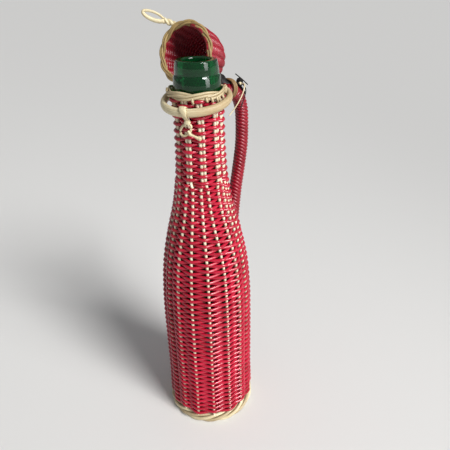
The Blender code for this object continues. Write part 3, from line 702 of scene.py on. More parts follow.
@dataclass
class WovenJacket(Assembly):
    """Stakes and the red cord woven over and under them."""

    shape: JacketShape
    body_turns: int = 89
    neck_turns: float = 22.7
    body_rows: tuple = ((0.0, 0.00755), (48.41, 0.12490), (86.41, 0.21500))
    neck_rows: tuple = (
        (0.0, 0.22105), (1.444, 0.22447), (9.444, 0.24377), (17.444, 0.26401), (22.0, 0.27590),
    )
    body_shares: tuple = (0.0, 0.08, 0.17, 0.28, 0.5, 0.72, 0.83, 0.92)
    neck_shares: tuple = (0.0, 0.1, 0.17, 0.24, 0.31, 0.4, 0.5, 0.6, 0.69, 0.76, 0.83, 0.9)
    stake_r: float = 0.00104
    stake_foot_z: float = 0.0066
    stake_top_z: float = 0.2781
    stake_points: int = 420
    stake_bulge: float = 0.00042
    flat_half: float = 0.0013
    wander_up: float = 0.00024
    wander_out: float = 0.00010

    def weave(
        self, spans: range, count: int, shares: tuple, rows: tuple,
        angle_at: Callable[[int, float], float], flat: float,
    ) -> Route:
        """The cord's route, outside one stake or pair and inside the next, a little uneven.

        Args:
            spans: the spans between stakes that it crosses, counted from the first row's start.
            count: stakes or pairs in one round.
            shares: where its points lie in each span.
            rows: rounds climbed against height.
            angle_at: direction of a stake or pair by its number and height.
            flat: half of the length that lies level over a pair.

        Returns:
            The points of the route.
        """
        points = []
        for i in spans:
            for share in shares:
                u = i + share
                z = ladder(rows, u / count)
                ring = self.shape.ring(z)
                start = angle_at(i, z)
                step = angle_at(i + 1, z) - start
                near = round(u)
                lift = self.shape.lift((u - near) * step * ring, flat, step, ring, near % 2 == 0)
                angle = start + step * share
                spot = polar(ring + lift, angle, z) + self.shape.move(z)
                spot.z += self.wander_up * wobble(spot, 38, 1.0)
                points.append(spot + polar(self.wander_out * wobble(spot, 60, 3.0), angle, 0.0))
        return points

    def bulge(self, index: int, z: float) -> float:
        """How far a stake is pressed out or in where a row passes inside or outside it."""
        rows, place, count = self.body_rows, index, self.shape.stakes
        if z >= self.neck_rows[0][1]:
            rows, place, count = self.neck_rows, index // 2, self.shape.columns
        turns = ladder(tuple((up, turn) for turn, up in rows), z)
        return self.stake_bulge * math.cos(math.pi * (turns - place / count - (1 - place % 2)))

    def build(self) -> None:
        """Make and dress the stakes and the two lengths of cord."""
        shape = self.shape
        for index in range(shape.stakes):
            route = []
            for k in range(self.stake_points):
                z = self.stake_foot_z + (self.stake_top_z - self.stake_foot_z) * k / (self.stake_points - 1)
                ring = shape.ring(z) + self.bulge(index, z)
                route.append(polar(ring, shape.stake_angle(index, z), z) + shape.move(z))
            stake = Strand(f"cane_stake_{index + 1:02d}", route, self.stake_r, sides=8, upright=False).build()
            self.cane(stake, CaneTone.WHITE, f"stake_{index + 1:02d}")
        body = self.weave(
            range(shape.stakes, self.body_turns * shape.stakes), shape.stakes,
            self.body_shares, self.body_rows, shape.stake_angle, 0.0,
        )
        neck = self.weave(
            range(int(self.neck_turns * shape.columns)), shape.columns, self.neck_shares, self.neck_rows,
            lambda column, _: shape.column_angle(column, shape.split_top_z), self.flat_half,
        )
        for title, route in (("body", body), ("neck", neck)):
            cord = Strand(f"{title}_cord_weave", route, shape.cord_r, sides=8).build()
            self.dress(cord, self.finishes.cord, Slot.CORD, f"{title}_weaver")


@dataclass
class GlassBottle(Assembly):
    """The green bottle, turned from one outline."""

    shape: JacketShape
    lip_z: float = 0.3000
    lip_r: float = 0.0136
    lip_round: float = 0.0011
    lip_flare: float = 0.0004
    lip_band: float = 0.0030
    mouth_r: float = 0.0093
    crease_z: float = 0.2914
    crease_r: float = 0.0149
    crease_steps: tuple = ((-0.0003, 0.0006), (-0.0006, 0.0), (-0.0001, -0.0006), (0.0004, -0.0016))
    collar_r: float = 0.0157
    collar_top_z: float = 0.2848
    collar_foot_z: float = 0.2795
    collar_ease_r: float = 0.0006
    collar_ease_z: float = 0.0010
    neck_top_z: float = 0.2770
    wall: float = 0.0028
    heel: float = 0.0060
    heel_ease_r: float = 0.0008
    heel_ease_z: float = 0.0016
    punt_rise: float = 0.0080
    punt_r: float = 0.0180
    punt_shares: tuple = ((1.0, 0.0), (0.7, 0.55), (0.35, 0.9), (0.0, 1.0))
    floor_shares: tuple = ((0.0, 1.0), (0.4, 0.85), (0.8, 0.45), (1.1, 0.0))
    foot_z: float = 0.0035
    jacket_gap: float = 0.0068
    wall_points: int = 31
    steps: int = 96

    def wall_r(self, z: float) -> float:
        """Outside of the glass under the weave."""
        return min(self.shape.radius(z), self.shape.body_r) - self.jacket_gap

    def outline(self) -> list[tuple[float, float]]:
        """Radius and height, up the inside from the punt and down the outside."""

        def arc(middle: float, level: float, size: float, first: float, last: float, count: int) -> list:
            """Points of an arc between two directions in degrees."""
            turns = by_share(count, lambda t: math.radians(first + (last - first) * t))
            spots = [polar(size, turn, 0.0) for turn in turns]
            return [(middle + spot.x, level + spot.y) for spot in spots]

        low = self.foot_z + self.heel
        heights = by_share(self.wall_points, lambda t: low + (self.neck_top_z - low) * t)
        body = self.wall_r(low)
        floor_z = self.foot_z + self.wall
        lip_low = self.lip_z - self.lip_round
        inside = [(self.punt_r * out, floor_z + self.punt_rise * up) for out, up in self.floor_shares]
        inside += [(body - self.heel, floor_z)]
        inside += [(body - self.wall - self.heel_ease_r, floor_z + self.heel_ease_z)]
        inside += [(max(self.mouth_r, self.wall_r(z) - self.wall), z) for z in heights]
        inside += [(self.mouth_r, self.collar_foot_z + self.collar_ease_z)]
        inside += arc(self.mouth_r + self.lip_round, lip_low, self.lip_round, 180, 90, 6)
        outside = arc(self.lip_r - self.lip_round, lip_low, self.lip_round, 90, 0, 7)
        outside += [(self.lip_r + self.lip_flare, self.lip_z - self.lip_band)]
        outside += [(self.crease_r + out, self.crease_z + up) for out, up in self.crease_steps]
        outside += [
            (self.collar_r, self.collar_top_z), (self.collar_r, self.collar_foot_z + self.collar_ease_z),
            (self.collar_r - self.collar_ease_r, self.collar_foot_z),
        ]
        outside += [(self.wall_r(z), z) for z in reversed(heights)]
        outside += arc(body - self.heel, low, self.heel, 0, -90, 7)[1:]
        outside += [(self.punt_r * out, self.foot_z + self.punt_rise * up) for out, up in self.punt_shares]
        return inside + outside

    def build(self) -> None:
        """Spin the outline round the axis."""
        bm = bmesh.new()
        verts = [bm.verts.new((radius, 0.0, z)) for radius, z in self.outline()]
        edges = [bm.edges.new(pair) for pair in zip(verts, verts[1:])]
        bmesh.ops.spin(
            bm, geom=verts + edges, cent=(0, 0, 0), axis=UP, angle=FULL, steps=self.steps, use_merge=True,
            use_duplicate=False,
        )
        glass = keep_mesh("bottle_glass", mesh_of("bottle_glass", bm))
        self.dress(glass, self.finishes.glass, Slot.GLASS, "glass_bottle")


@dataclass
class Rope:
    """A twist that lies round the axis: its ring, height, twists, reach out and up, and points a twist."""

    ring: float
    z: float
    twists: int
    out: float
    up: float
    steps: int
    wander: float = 0.00012

    def strand(self, phase: float, out: float = 0.0, up: float = 0.0) -> Route:
        """One strand of the twist.

        Args:
            phase: where it starts in its twist.
            out: steady step out, for a strand that lies beside another.
            up: steady step up.

        Returns:
            The points of a closed route.
        """
        count = self.twists * self.steps
        points = []
        for i in range(count):
            turn = FULL * i / count
            roll = self.twists * turn + phase
            reach = self.ring + self.out * math.cos(roll) + out
            spot = polar(reach, turn, self.z + self.up * math.sin(roll) + up)
            points.append(spot + UP * (self.wander * wobble(spot, 160, phase + 1.0)))
        return points


@dataclass
class Foot(Assembly):
    """The woven base under the glass and the cane twist round the foot."""

    border_r: float = 0.0339
    cane_r: float = 0.00142
    twist_r: float = 0.00215
    rise_r: float = 0.00275
    floor_gap: float = 0.0001
    twists: int = 4
    twist_points: int = 20
    tones: tuple = (CaneTone.PALE, CaneTone.CREAM, CaneTone.PALE, CaneTone.CREAM)
    base_r: float = 0.0296
    base_cane_r: float = 0.00070
    base_z: float = 0.00165
    base_spokes: int = 17
    base_lift: float = 0.0007
    spoke_start: float = 0.0035
    spoke_points: int = 9
    spiral_start: float = 0.0016
    spiral_left: float = 0.002
    spiral_pitch_share: float = 2.05
    spiral_steps: int = 3

    def build(self) -> None:
        """Make and dress the border and the base."""
        rope = Rope(
            self.border_r, self.cane_r + self.rise_r + self.floor_gap, self.twists, self.twist_r, self.rise_r,
            self.twist_points,
        )
        for i, tone in enumerate(self.tones):
            route = rope.strand(FULL * i / len(self.tones))
            strand = Strand(f"foot_cane_{i + 1}", route, self.cane_r, cyclic=True).build()
            self.cane(strand, tone, *((f"foot_border_strand_{i + 1}",) if i < 2 else ()))
        spokes = []
        length = self.base_r - self.spoke_start
        reaches = by_share(self.spoke_points, lambda t: self.spoke_start + length * t)
        for i in range(self.base_spokes):
            angle = FULL * i / self.base_spokes
            route = [polar(reach, angle, self.base_z) for reach in reaches]
            spokes.append(Strand(f"base_spoke_{i}", route, self.base_cane_r, sides=8).build())
        pitch = self.spiral_pitch_share * self.base_cane_r
        route = []
        for k in range(int((self.base_r - self.spiral_left) / pitch * self.base_spokes * self.spiral_steps)):
            u = k / self.spiral_steps
            radius = min(self.spiral_start + pitch * u / self.base_spokes, self.base_r)
            lift = self.base_lift * math.cos(math.pi * u)
            route.append(polar(radius, FULL * u / self.base_spokes, self.base_z + lift))
        spokes.append(Strand("base_spiral", route, self.base_cane_r, sides=8).build())
        self.cane(join("woven_base", spokes), CaneTone.PALE, "base_disc")


@dataclass
class NeckBorder(Assembly):
    """Two pairs of canes plaited round the top of the jacket."""

    ring: float = 0.0180
    foot_z: float = 0.2772
    height: float = 0.0060
    cane_r: float = 0.00090
    cane_gap: float = 0.00080
    cane_flat: float = 0.7
    out: float = 0.00080
    twists: int = 3
    twist_points: int = 32
    lead: float = 0.12
    shift: float = 0.0009
    shift_angle: float = math.radians(205.0)
    stub_angles: tuple = (-60.0, -33.0, -22.0, -10.0, -4.0, 9.0)
    stub_r: float = 0.0009
    stub_steps: tuple = ((0.0000, 0.0018), (0.0006, 0.0004), (0.0006, -0.0007))
    stub_uneven: float = 0.0006
    stub_turn: float = 0.03
    folds: tuple = ((-140.0, 0.0009, 0.0021, 0.0022), (34.0, 0.0016, 0.0022, 0.0030))
    fold_up: float = 0.0008

    def build(self) -> None:
        """Make and dress the four canes and their ends."""
        middle = self.foot_z + self.height / 2
        move = Matrix.Translation(polar(self.shift, self.shift_angle, 0.0))
        up = self.height / 2 - 2 * self.cane_r
        rope = Rope(self.ring, middle, self.twists, self.out, up, self.twist_points)
        for pair in (1, 2):
            for side, title in ((-1, "low"), (1, "high")):
                route = rope.strand(math.pi * (pair - 1) + self.lead * side, up=side * self.cane_gap)
                name = f"neck_plait_{pair}_{title}"
                strand = Strand(name, route, self.cane_r, flat=self.cane_flat, cyclic=True).build()
                nodes = (f"neck_border_strand_{pair}",) if side < 0 else ()
                self.cane(transformed(strand, move), CaneTone.PALE, *nodes)
        ends = []
        for degrees in self.stub_angles:
            steps = list(self.stub_steps)
            steps[-1] = (steps[-1][0], steps[-1][1] - self.stub_uneven * math.sin(degrees))
            angle = math.radians(degrees)
            route = []
            for out, rise in steps:
                turn = angle + self.stub_turn * out / self.stub_r
                route.append(polar(self.ring + self.out + out, turn, self.foot_z + rise))
            ends.append(Strand(f"border_stub_{degrees:.0f}", route, self.stub_r, sides=8).build())
        for degrees, *radii in self.folds:
            angle = math.radians(degrees)
            spot = polar(self.ring + self.out, angle, middle + self.fold_up)
            ends.append(lump(f"border_fold_{degrees:.0f}", spot, radii, Matrix.Rotation(angle, 4, "Z"), 0.3))
        self.cane(transformed(join("border_cane_ends", ends), move), CaneTone.PALE)


@dataclass
class NeckHoop(Assembly):
    """The loose hoop of round cane and the tie that holds it at the front."""

    shape: JacketShape
    ring: float = 0.02175
    cane_r: float = 0.0022
    cane_up: float = 0.0029
    points: int = 120
    uneven_share: float = 0.03
    middle_z: float = 0.2749
    shift: float = 0.0009
    shift_angle: float = math.radians(200.0)
    tilt: float = math.radians(9.7)
    low_angle: float = math.radians(-79.0)
    tie_angle: float = math.radians(-74.0)
    strip_turns: tuple = (
        (150, -79.5), (120, -79.0), (90, -78.5), (65, -77.5),
        (40, -76.5), (15, -75.0), (-10, -74.0), (-35, -73.0),
    )
    strip_r: float = 0.0025
    strip_flat: float = 0.24
    strip_gap: float = 0.0001
    strip_points: int = 36
    knot_z: float = 0.2648
    knot_r: float = 0.0021
    knot_depth: float = 0.0018
    knot_out: float = 0.0016
    knot_share: float = 0.6
    thin_r: float = 0.00082
    loop_drop: float = 0.0082
    loop_angle: float = math.radians(-85.5)
    loop_half: float = math.radians(11.0)
    loop_points: int = 32
    side_steps: tuple = ((-85.0, 0.2702), (-82.0, 0.2690), (-78.0, 0.2672), (-74.5, 0.2655))
    side_out: float = 0.0004
    side_fall: float = 0.0012
    side_points: int = 16
    tail_steps: tuple = ((-73.0, 0.2590), (-69.0, 0.2568), (-64.0, 0.2563), (-58.0, 0.2551), (-52.0, 0.2542))
    tail_out: float = 0.0008
    tail_points: int = 20
    tail_share: float = 1.1
    tail_swell: float = 0.25
    tail_waves: int = 9
    bud_radii: tuple = (0.0013, 0.0013, 0.0015)

    def height(self, angle: float) -> float:
        """Height of the hoop's middle in a direction."""
        return self.middle_z - self.ring * math.tan(self.tilt) * math.cos(angle - self.low_angle)

    def build_hoop(self) -> None:
        """The ring of thick cane, a little uneven."""
        turns = [FULL * i / self.points for i in range(self.points)]
        move = polar(self.shift, self.shift_angle, 0.0)
        route = [polar(self.ring, turn, self.height(turn)) + move for turn in turns]
        shares = [1.0 - self.uneven_share * (1.0 - wobble(spot, 70, 2.0)) for spot in route]
        flat = self.cane_r / self.cane_up
        hoop = Strand(
            "hoop_cane", route, self.cane_up, flat=flat, sides=20, cyclic=True, shares=shares
        ).build()
        self.dress(hoop, self.finishes.hoop, Slot.CANE, "neck_hoop")

    def build_strip(self, surface: float) -> Object:
        """The strip over the hoop, down to the knot on the jacket's surface."""
        clear = self.strip_r * self.strip_flat + self.strip_gap
        strip = []
        for lift, degrees in self.strip_turns:
            out = (self.cane_r + clear) * math.cos(math.radians(lift))
            up = (self.cane_up + clear) * math.sin(math.radians(lift))
            strip.append(polar(self.ring + out, math.radians(degrees), self.height(self.tie_angle) + up))
        end_z = self.knot_z + self.knot_r * self.knot_share
        strip.append(polar(surface + self.knot_r, self.tie_angle, end_z))
        narrow = taper(self.strip_points, loss=0.5, start=0.45, over=0.5)
        return Strand(
            "hoop_strip", smooth_route(strip, self.strip_points), self.strip_r, flat=self.strip_flat,
            sides=12, shares=narrow, across=polar(1.0, self.tie_angle + math.pi / 2, 0.0),
        ).build()

    def build_tie(self) -> None:
        """The strip over the hoop, its knot, its loop and its free end."""
        angle = self.tie_angle
        surface = self.shape.radius(self.knot_z)
        tie = self.build_strip(surface)
        radii = (self.knot_depth, self.knot_r, self.knot_r)
        knot_at = polar(surface + self.knot_out, angle, self.knot_z)
        knot = lump("hoop_knot", knot_at, radii, Matrix.Rotation(angle, 4, "Z"), 0.2)
        low = self.knot_z - self.knot_r * self.knot_share
        loop_r = surface + self.thin_r
        loop = []
        for i in range(self.loop_points):
            phase = FULL * (i + 0.5) / self.loop_points
            top = (angle - self.loop_angle) * (1 + math.cos(phase)) / 2
            side = self.loop_angle + top + self.loop_half * math.sin(phase)
            loop.append(polar(loop_r, side, low - self.loop_drop * (1 - math.cos(phase)) / 2))
        ring = Strand("hoop_loop", loop, self.thin_r, cyclic=True).build()
        fall = [
            polar(self.ring + self.side_out - self.side_fall * i, math.radians(turn), up)
            for i, (turn, up) in enumerate(self.side_steps)
        ]
        strand = Strand("hoop_side_strand", smooth_route(fall, self.side_points), self.thin_r).build()
        tail = [polar(loop_r + self.tail_out, math.radians(turn), up) for turn, up in self.tail_steps]
        swell = by_share(self.tail_points, lambda t: 1.0 + self.tail_swell * math.sin(self.tail_waves * t))
        route = smooth_route(tail, self.tail_points)
        end = Strand("hoop_tail_cane", route, self.thin_r * self.tail_share, shares=swell).build()
        bud = lump("hoop_tail_bud", tail[-1], self.bud_radii, rough=0.25)
        self.cane(tie, CaneTone.CREAM, "hoop_tie")
        self.cane(join("hoop_knot_canes", [knot, strand]), CaneTone.CREAM, "tie_knot")
        self.cane(ring, CaneTone.CREAM, "tie_loop")
        self.cane(join("hoop_tail", [end, bud]), CaneTone.CREAM, "tie_tail")

    def build(self) -> None:
        """Make and dress the hoop and the tie."""
        self.build_hoop()
        self.build_tie()


@dataclass
class Handle(Assembly):
    """The bent cane core and the red cord wound on it."""

    shape: JacketShape
    reach: float = 0.0538
    foot_z: float = 0.1530
    top_z: float = 0.2743
    route_shares: tuple = (
        (0.33, 0.985), (0.42, 0.990), (0.51, 0.997), (0.61, 1.000), (0.752, 0.983), (0.901, 0.934),
        (0.978, 0.865), (1.000, 0.786), (0.992, 0.649), (0.950, 0.552), (0.893, 0.455), (0.825, 0.350),
        (0.775, 0.240), (0.735, 0.140), (0.688, 0.060), (0.640, 0.000),
    )
    core_r: float = 0.0017
    core_points: int = 81
    neck_seat: float = 0.0012
    body_seat: float = 0.0026
    cord_r: float = 0.00150
    wound_r: float = 0.0052
    starts: int = 4
    row: float = 0.00265
    turn_points: int = 22
    ease_turns: float = 0.6
    wrap_start: float = 0.075
    wrap_end: float = 0.975
    fine: int = 400

    def stations(self) -> Route:
        """The handle's middle line from the neck over the top and down to the body."""
        rise = self.top_z - self.foot_z
        points = [Vector((0.0, self.reach * out, self.foot_z + rise * up)) for out, up in self.route_shares]
        points[0].y = self.shape.radius(points[0].z) - self.neck_seat
        points[-1].y = self.shape.radius(points[-1].z) - self.body_seat
        return points

    def frame_at(self, share: float) -> tuple[Vector, Vector, Vector]:
        """The point, the direction along and the outward direction at a share of the middle line."""
        stations = self.stations()
        step = 0.001
        along = (spline_point(stations, share + step) - spline_point(stations, share - step)).normalized()
        outward = Vector((1.0, 0.0, 0.0)).cross(along).normalized()
        if outward.y < 0 and outward.z < 0:
            outward = -outward
        return spline_point(stations, share), along, outward

    def build(self) -> None:
        """Make and dress the core and the winding."""
        stations = self.stations()
        core = Strand("handle_cane", smooth_route(stations, self.core_points), self.core_r, sides=12).build()
        self.cane(core, CaneTone.PALE, "handle_core")
        shares = by_share(self.fine + 1, lambda t: self.wrap_start + (self.wrap_end - self.wrap_start) * t)
        lengths = lengths_along([spline_point(stations, share) for share in shares])
        count = int(lengths[-1] / (self.row * self.starts) * self.turn_points)
        frames = []
        for i in range(count + 1):
            k, t = between(lengths, lengths[-1] * i / count)
            frames.append(self.frame_at(shares[k] + (shares[k + 1] - shares[k]) * t))
        side = Vector((1.0, 0.0, 0.0))
        seated = self.core_r + self.cord_r
        cords = []
        for start in range(self.starts):
            route = []
            for i, (centre, _, outward) in enumerate(frames):
                turn = FULL * start / self.starts - FULL * i / self.turn_points
                ends = min(i, count - i) / (self.ease_turns * self.turn_points)
                reach = seated + (self.wound_r - self.cord_r - seated) * smooth_step(ends)
                route.append(centre + reach * (math.cos(turn) * outward + math.sin(turn) * side))
            cords.append(Strand(f"wrap_{start}", route, self.cord_r, sides=8, upright=False).build())
        # The winding takes the darker copy of the red cord: painted shade for the shadow that the handle lies
        # in.
        self.dress(join("handle_cord_winding", cords), self.finishes.shaded_cord, Slot.CORD, "handle_wrap")


@dataclass
class CapPlace:
    """Where the cap lies on the neck and how it swings open."""

    hinge_r: float = 0.0204
    hinge_angle: float = math.radians(115.7)
    hinge_z: float = 0.28715
    axis_angle: float = math.radians(43.4)
    axis_rise: float = math.radians(25.0)
    open_angle: float = math.radians(125.2)
    centre: Vector = field(default_factory=lambda: Vector((0.0013, 0.0007, 0.28745)))

    def swing(self) -> Matrix:
        """The matrix that turns the cap from the neck to its open place."""
        hinge = polar(self.hinge_r, self.hinge_angle, self.hinge_z)
        axis = polar(math.cos(self.axis_rise), self.axis_angle, math.sin(self.axis_rise))
        turn = Matrix.Rotation(-self.open_angle, 4, axis)
        return Matrix.Translation(hinge) @ turn @ Matrix.Translation(-hinge)


@dataclass
class Cap(Assembly):
    """The woven dome, its cane rim and its latch loop."""

    place: CapPlace
    rim_r: float = 0.0197
    rim_cane_r: float = 0.00086
    rim_gap: float = 0.00072
    rim_out: float = 0.00080
    rim_up: float = 0.00085
    rim_drop: float = 0.0006
    rim_twists: int = 6
    rim_twist_points: int = 20
    rim_lead: float = 0.1
    dome_r: float = 0.0199
    dome_height: float = 0.0352
    dome_power: float = 2.6
    dome_skirt: float = 0.0002
    dome_tuck: float = 0.0006
    fine: int = 400
    cord_r: float = 0.00123
    row_pitch: float = 0.00226
    ribs: int = 18
    rib_steps: int = 8
    bulge: float = 0.00140
    sink: float = 0.0002
    puff_power: float = 0.55
    crown_share: float = 1.3
    loop_angle: float = math.radians(-44.0)
    loop_yaw: float = math.radians(-38.0)
    loop_drop: float = math.radians(45.0)
    loop_out: float = 0.0039
    stem: float = 0.0062
    stem_points: int = 25
    eye: float = 0.0148
    eye_half: float = 0.0024
    eye_steps: int = 24
    root: float = 0.0018
    strand_r: float = 0.00122
    strand_twist_r: float = 0.00100
    swell_share: float = 0.32
    swell_waves: int = 7

    def meridian(self) -> list[tuple[float, float, float]]:
        """Length, radius and height up the dome, close together."""
        rows = [(0.0, self.dome_r - self.dome_tuck, -self.dome_skirt)]
        for i in range(self.fine + 1):
            turn = math.pi / 2 * i / self.fine
            radius = self.dome_r * max(0.0, math.cos(turn)) ** (2 / self.dome_power)
            height = self.dome_height * math.sin(turn) ** (2 / self.dome_power)
            length, last_r, last_z = rows[-1]
            rows.append((length + math.hypot(radius - last_r, height - last_z), radius, height))
        return rows

    def dome_route(self) -> Route:
        """The cord that winds up the dome, drawn in at every rib."""
        rows = self.meridian()
        lengths = [row[0] for row in rows]
        route: Route = []
        u = 0.0
        done = 0.0
        while done < lengths[-1] - self.cord_r:
            done = self.row_pitch * u / self.ribs
            k, part = between(lengths, done)
            (_, r0, z0), (_, r1, z1) = rows[k], rows[k + 1]
            radius = r0 + (r1 - r0) * part
            way = Vector((r1 - r0, 0.0, z1 - z0)).normalized()
            wave = abs(math.sin(math.pi * u)) ** self.puff_power
            puff = self.bulge * min(1.0, radius / self.dome_r * self.crown_share) * wave - self.sink
            spot = Vector((radius - self.cord_r, 0.0, z0 + (z1 - z0) * part))
            spot += Vector((way.z, 0.0, -way.x)) * puff
            route.append(self.place.centre + Matrix.Rotation(FULL * u / self.ribs, 4, "Z") @ spot)
            u += 1 / self.rib_steps
        return route

    def build_rim(self, swing: Matrix) -> None:
        """Two pairs of canes twisted round the cap's mouth."""
        rope = Rope(
            self.rim_r, -self.rim_drop, self.rim_twists, self.rim_out, self.rim_up, self.rim_twist_points
        )
        for pair in (1, 2):
            for side, title in ((-1, "low"), (1, "high")):
                route = rope.strand(math.pi * (pair - 1) + self.rim_lead * side, out=side * self.rim_gap)
                route = [spot + self.place.centre for spot in route]
                strand = Strand(f"rim_plait_{pair}_{title}", route, self.rim_cane_r, cyclic=True).build()
                nodes = (f"cap_rim_strand_{pair}",) if side < 0 else ()
                self.cane(transformed(strand, swing), CaneTone.TAN, *nodes, body=CAP)

    def build_loop(self, swing: Matrix) -> None:
        """The cane twisted back on itself, open at its end as an eye."""
        level = polar(1.0, self.loop_angle + self.loop_yaw, 0.0)
        along = level * math.cos(self.loop_drop) - UP * math.sin(self.loop_drop)
        base = self.place.centre + polar(self.rim_r + self.loop_out, self.loop_angle, 0.0)
        across = along.cross(UP).normalized()
        above = along.cross(across).normalized()
        stem = []
        for t in by_share(self.stem_points, float):
            roll = FULL * t
            off = self.strand_twist_r * (math.cos(roll) * across + math.sin(roll) * above)
            stem.append((base + along * (self.stem * t - self.root * (1 - t)), off))
        middle = base + along * (self.stem + self.eye / 2)
        side = across * (-1.0 if stem[-1][1].dot(across) < 0 else 1.0)
        turns = [math.pi * i / self.eye_steps for i in range(1, self.eye_steps)]
        half = self.eye / 2
        arc = [
            (middle - along * math.cos(turn) * half, side * math.sin(turn) * self.eye_half) for turn in turns
        ]
        pairs = stem + arc
        route = [spot + off for spot, off in pairs] + [spot - off for spot, off in reversed(pairs)]
        count = len(route)
        swell = [
            1.0 + self.swell_share * math.sin(math.pi * i / count) * math.sin(self.swell_waves * i / count)
            for i in range(count)
        ]
        loop = Strand("latch_loop", route, self.strand_r, shares=swell, upright=False).build()
        self.cane(transformed(loop, swing), CaneTone.CREAM, "cap_loop", body=LATCH)

    def build(self) -> None:
        """Make and dress the cap in its open place."""
        swing = self.place.swing()
        dome = transformed(Strand("cap_cord_weave", self.dome_route(), self.cord_r, sides=8).build(), swing)
        # The dome takes the darker copy of the red cord: painted shade over the whole dome, inside and out.
        self.dress(dome, self.finishes.shaded_cord, Slot.CORD, "cap_weave", body=CAP)
        self.build_rim(swing)
        self.build_loop(swing)


@dataclass
class CapStrap(Assembly):
    """The strap that hinges the cap, its lashing, its knot and its straw end."""

    handle: Handle
    place: CapPlace
    half_width: float = 0.0033
    half_thick: float = 0.0006
    clear: float = 0.0061
    seat_share: float = 0.345
    leave_share: float = 0.215
    rim_r: float = 0.0198
    hinge_gap: float = 0.0022
    strap_points: int = 60
    free_shares: tuple = (0.3, 0.6, 0.85, 1.0)
    lashing_share: float = 0.226
    lashing_r: float = 0.0066
    lashing_out: float = 0.0010
    lashing_pitch: float = 0.0016
    lashing_turns: int = 3
    lashing_steps: int = 24
    lashing_cane_r: float = 0.0007
    knot_r: float = 0.0025
    knot_gap: float = 0.0016
    knot_rise: float = 0.0008
    knot_tall: float = 1.4
    knot_share: float = 0.305
    bead_r: float = 0.0013
    bead_gap: float = 0.0002
    bead_way: tuple = (0.62, -0.78, -0.10)
    straw_r: float = 0.00055
    straw_drop: float = 0.0200
    straw_points: int = 30
    straw_loss: float = 0.4
    straw_shares: tuple = (
        (0.10, -0.04, 0.02), (0.33, -0.155, 0.01), (0.36, -0.335, -0.26), (0.36, -0.65, -0.54),
        (0.36, -0.96, -0.73), (0.36, -1.22, -0.855),
    )
    thong_r: float = 0.0004
    thong_points: int = 16
    thong_shares: tuple = (
        ((0.10, -0.40, 0.41), (0.16, -0.05, 0.17), (0.15, 0.33, -0.08)),
        ((0.14, 0.02, -0.02), (0.34, -0.09, -0.23), (0.34, -0.44, -0.78)),
    )

    def build_strap(self) -> None:
        """The strap from its seat on the handle to the cap's rim in its open place."""
        swing = self.place.swing()
        points = []
        for share in by_share(4, lambda t: self.seat_share + (self.leave_share - self.seat_share) * t):
            centre, _, outward = self.handle.frame_at(share)
            points.append(centre + outward * self.clear)
        outward = swing.to_3x3() @ polar(1.0, self.place.hinge_angle, 0.0)
        rim = swing @ (self.place.centre + polar(self.rim_r, self.place.hinge_angle, 0.0))
        end = rim + outward * self.hinge_gap
        leave = points[-1].copy()
        points += [leave.lerp(end, share) for share in self.free_shares]
        strap = Strand(
            "cap_hinge_strap", smooth_route(points, self.strap_points), self.half_width,
            flat=self.half_thick / self.half_width, sides=16,
            shares=taper(self.strap_points, loss=0.5, start=0.6, over=0.4),
            tilts=[math.pi / 2 * left for left in taper(self.strap_points, loss=1.0, start=0.3, over=0.35)],
        ).build()
        strap.data.materials.append(self.finishes.strap)
        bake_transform(strap)
        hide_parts("cap_strap")

    def build_lashing(self) -> None:
        """Three turns of thin cane round the handle and the strap."""
        centre, along, outward = self.handle.frame_at(self.lashing_share)
        side = along.cross(outward).normalized()
        count = self.lashing_turns * self.lashing_steps
        width = self.lashing_pitch * self.lashing_turns
        coils = []
        for k in range(count):
            turn = FULL * k / self.lashing_steps
            spot = centre + outward * self.lashing_out + along * (width * (k / count - 0.5))
            coils.append(spot + self.lashing_r * (math.cos(turn) * outward + math.sin(turn) * side))
        lashing = Strand("lashing_cane", coils, self.lashing_cane_r, sides=8, upright=False).build()
        self.cane(lashing, CaneTone.BROWN, "strap_lashing")

    def build_knot(self) -> None:
        """The knot on the strap, its pale bead, its thongs and the straw end."""
        cream = self.finishes.cane[CaneTone.CREAM]
        centre, _, outward = self.handle.frame_at(self.knot_share)
        knot_at = centre + outward * (self.clear + self.half_thick + self.knot_gap)
        middle = knot_at + outward * self.knot_rise
        radii = (self.knot_r, self.knot_r, self.knot_r * self.knot_tall)
        knot = lump("leather_knot", middle, radii, rough=0.25)
        self.dress(knot, self.finishes.strap, Slot.STRAP, "strap_knot")
        bead_at = middle + Vector(self.bead_way) * (self.knot_r + self.bead_gap)
        bead = lump("pale_bead", bead_at, (self.bead_r,) * 3, rough=0.05)
        self.dress(bead, cream, Slot.STRAW, "knot_bead")

        def trail(name: str, shares: tuple, radius: float, count: int, thin: list | None = None) -> Object:
            """A thin strand that leaves the knot, through shares of the straw's drop."""
            route = smooth_route([knot_at + Vector(share) * self.straw_drop for share in shares], count)
            return Strand(name, route, radius, sides=8, shares=thin, upright=False).build()

        thongs = [
            trail(f"thong_{i}", shares, self.thong_r, self.thong_points)
            for i, shares in enumerate(self.thong_shares)
        ]
        self.dress(join("leather_thongs", thongs), self.finishes.strap, Slot.STRAP)
        thin = by_share(self.straw_points, lambda t: 1.0 - self.straw_loss * t)
        straw = trail("straw_tail", self.straw_shares, self.straw_r, self.straw_points, thin)
        self.dress(straw, cream, Slot.STRAW, "straw_end")

    def build(self) -> None:
        """Make and dress every piece of the strap."""
        self.build_strap()
        self.build_lashing()
        self.build_knot()


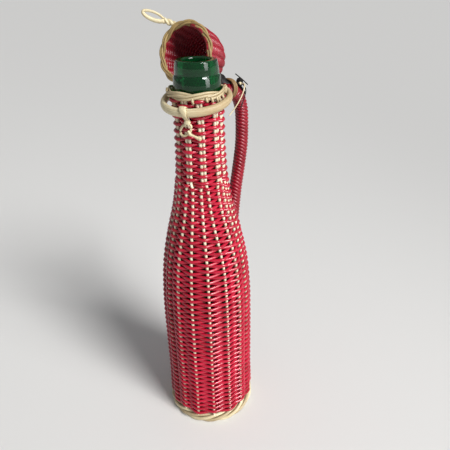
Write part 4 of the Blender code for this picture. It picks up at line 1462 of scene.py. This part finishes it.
@dataclass
class Studio(Assembly):
    """Plain pale floor, soft lamps and the camera of the photograph."""

    camera_at: tuple = (0.184515, -0.235546, 0.345722)
    heading: float = math.radians(35.0)
    pitch: float = math.radians(60.915)
    roll: float = math.radians(-1.244)
    lens: float = 35.918
    sensor: float = 36.0
    clip_start: float = 0.01
    floor_half: float = 30.0
    room_colour: tuple = (0.80, 0.82, 0.85, 1.0)
    room_level: float = 0.32
    target: tuple = (0.0, 0.0, 0.18)
    window_at: tuple = (0.90, -0.02, 0.56)
    window_size: tuple = (0.34, 0.9)
    window_power: float = 1.3
    window_spread: float = math.radians(80.0)
    high_from: tuple = (0.94, -0.16, 0.80)
    high_power: float = 2.85
    high_angle: float = math.radians(22.0)

    def lamp(self, name: str, kind: str, power: float, way: Vector) -> Object:
        """A lamp that shines along a direction."""
        data = bpy.data.lights.new(name, kind)
        data.energy = power
        item = linked(name, data)
        item.rotation_euler = way.to_track_quat("-Z", "Y").to_euler()
        return item

    def build(self) -> None:
        """Make the floor, the lamps, the world and the camera."""
        bm = bmesh.new()
        bmesh.ops.create_grid(bm, x_segments=1, y_segments=1, size=self.floor_half)
        floor = linked("floor", mesh_of("floor", bm))
        floor.data.materials.append(self.finishes.floor)
        world = bpy.data.worlds.new("plain_room")
        world.use_nodes = True
        shade = world.node_tree.nodes["Background"]
        shade.inputs["Color"].default_value = self.room_colour
        shade.inputs["Strength"].default_value = self.room_level
        bpy.context.scene.world = world
        way = Vector(self.target) - Vector(self.window_at)
        window = self.lamp("window_lamp", "AREA", self.window_power, way)
        window.location = self.window_at
        window.data.shape = "RECTANGLE"
        window.data.size, window.data.size_y = self.window_size
        window.data.spread = self.window_spread
        self.lamp("high_lamp", "SUN", self.high_power, -Vector(self.high_from)).data.angle = self.high_angle
        lens = bpy.data.cameras.new("camera")
        lens.lens, lens.sensor_width, lens.clip_start = self.lens, self.sensor, self.clip_start
        camera = linked("camera", lens)
        turn = Matrix.Rotation(self.heading, 4, "Z") @ Matrix.Rotation(self.pitch, 4, "X")
        camera.matrix_world = Matrix.Translation(self.camera_at) @ turn @ Matrix.Rotation(self.roll, 4, "Z")
        bpy.context.scene.camera = camera
        bpy.context.scene.view_settings.view_transform = "Standard"


def main() -> None:
    """Build every sub-assembly in order."""
    logging.basicConfig(level=logging.INFO, format="%(name)s %(message)s")
    finishes = Finishes()
    shape = JacketShape()
    place = CapPlace()
    handle = Handle(finishes, shape)
    for assembly in (
        GlassBottle(finishes, shape), Foot(finishes), WovenJacket(finishes, shape), NeckBorder(finishes),
        NeckHoop(finishes, shape), handle, Cap(finishes, place), CapStrap(finishes, handle, place),
        Studio(finishes),
    ):
        assembly.build()
        LOG.info("%s built", type(assembly).__name__)


if __name__ == "__main__":
    main()
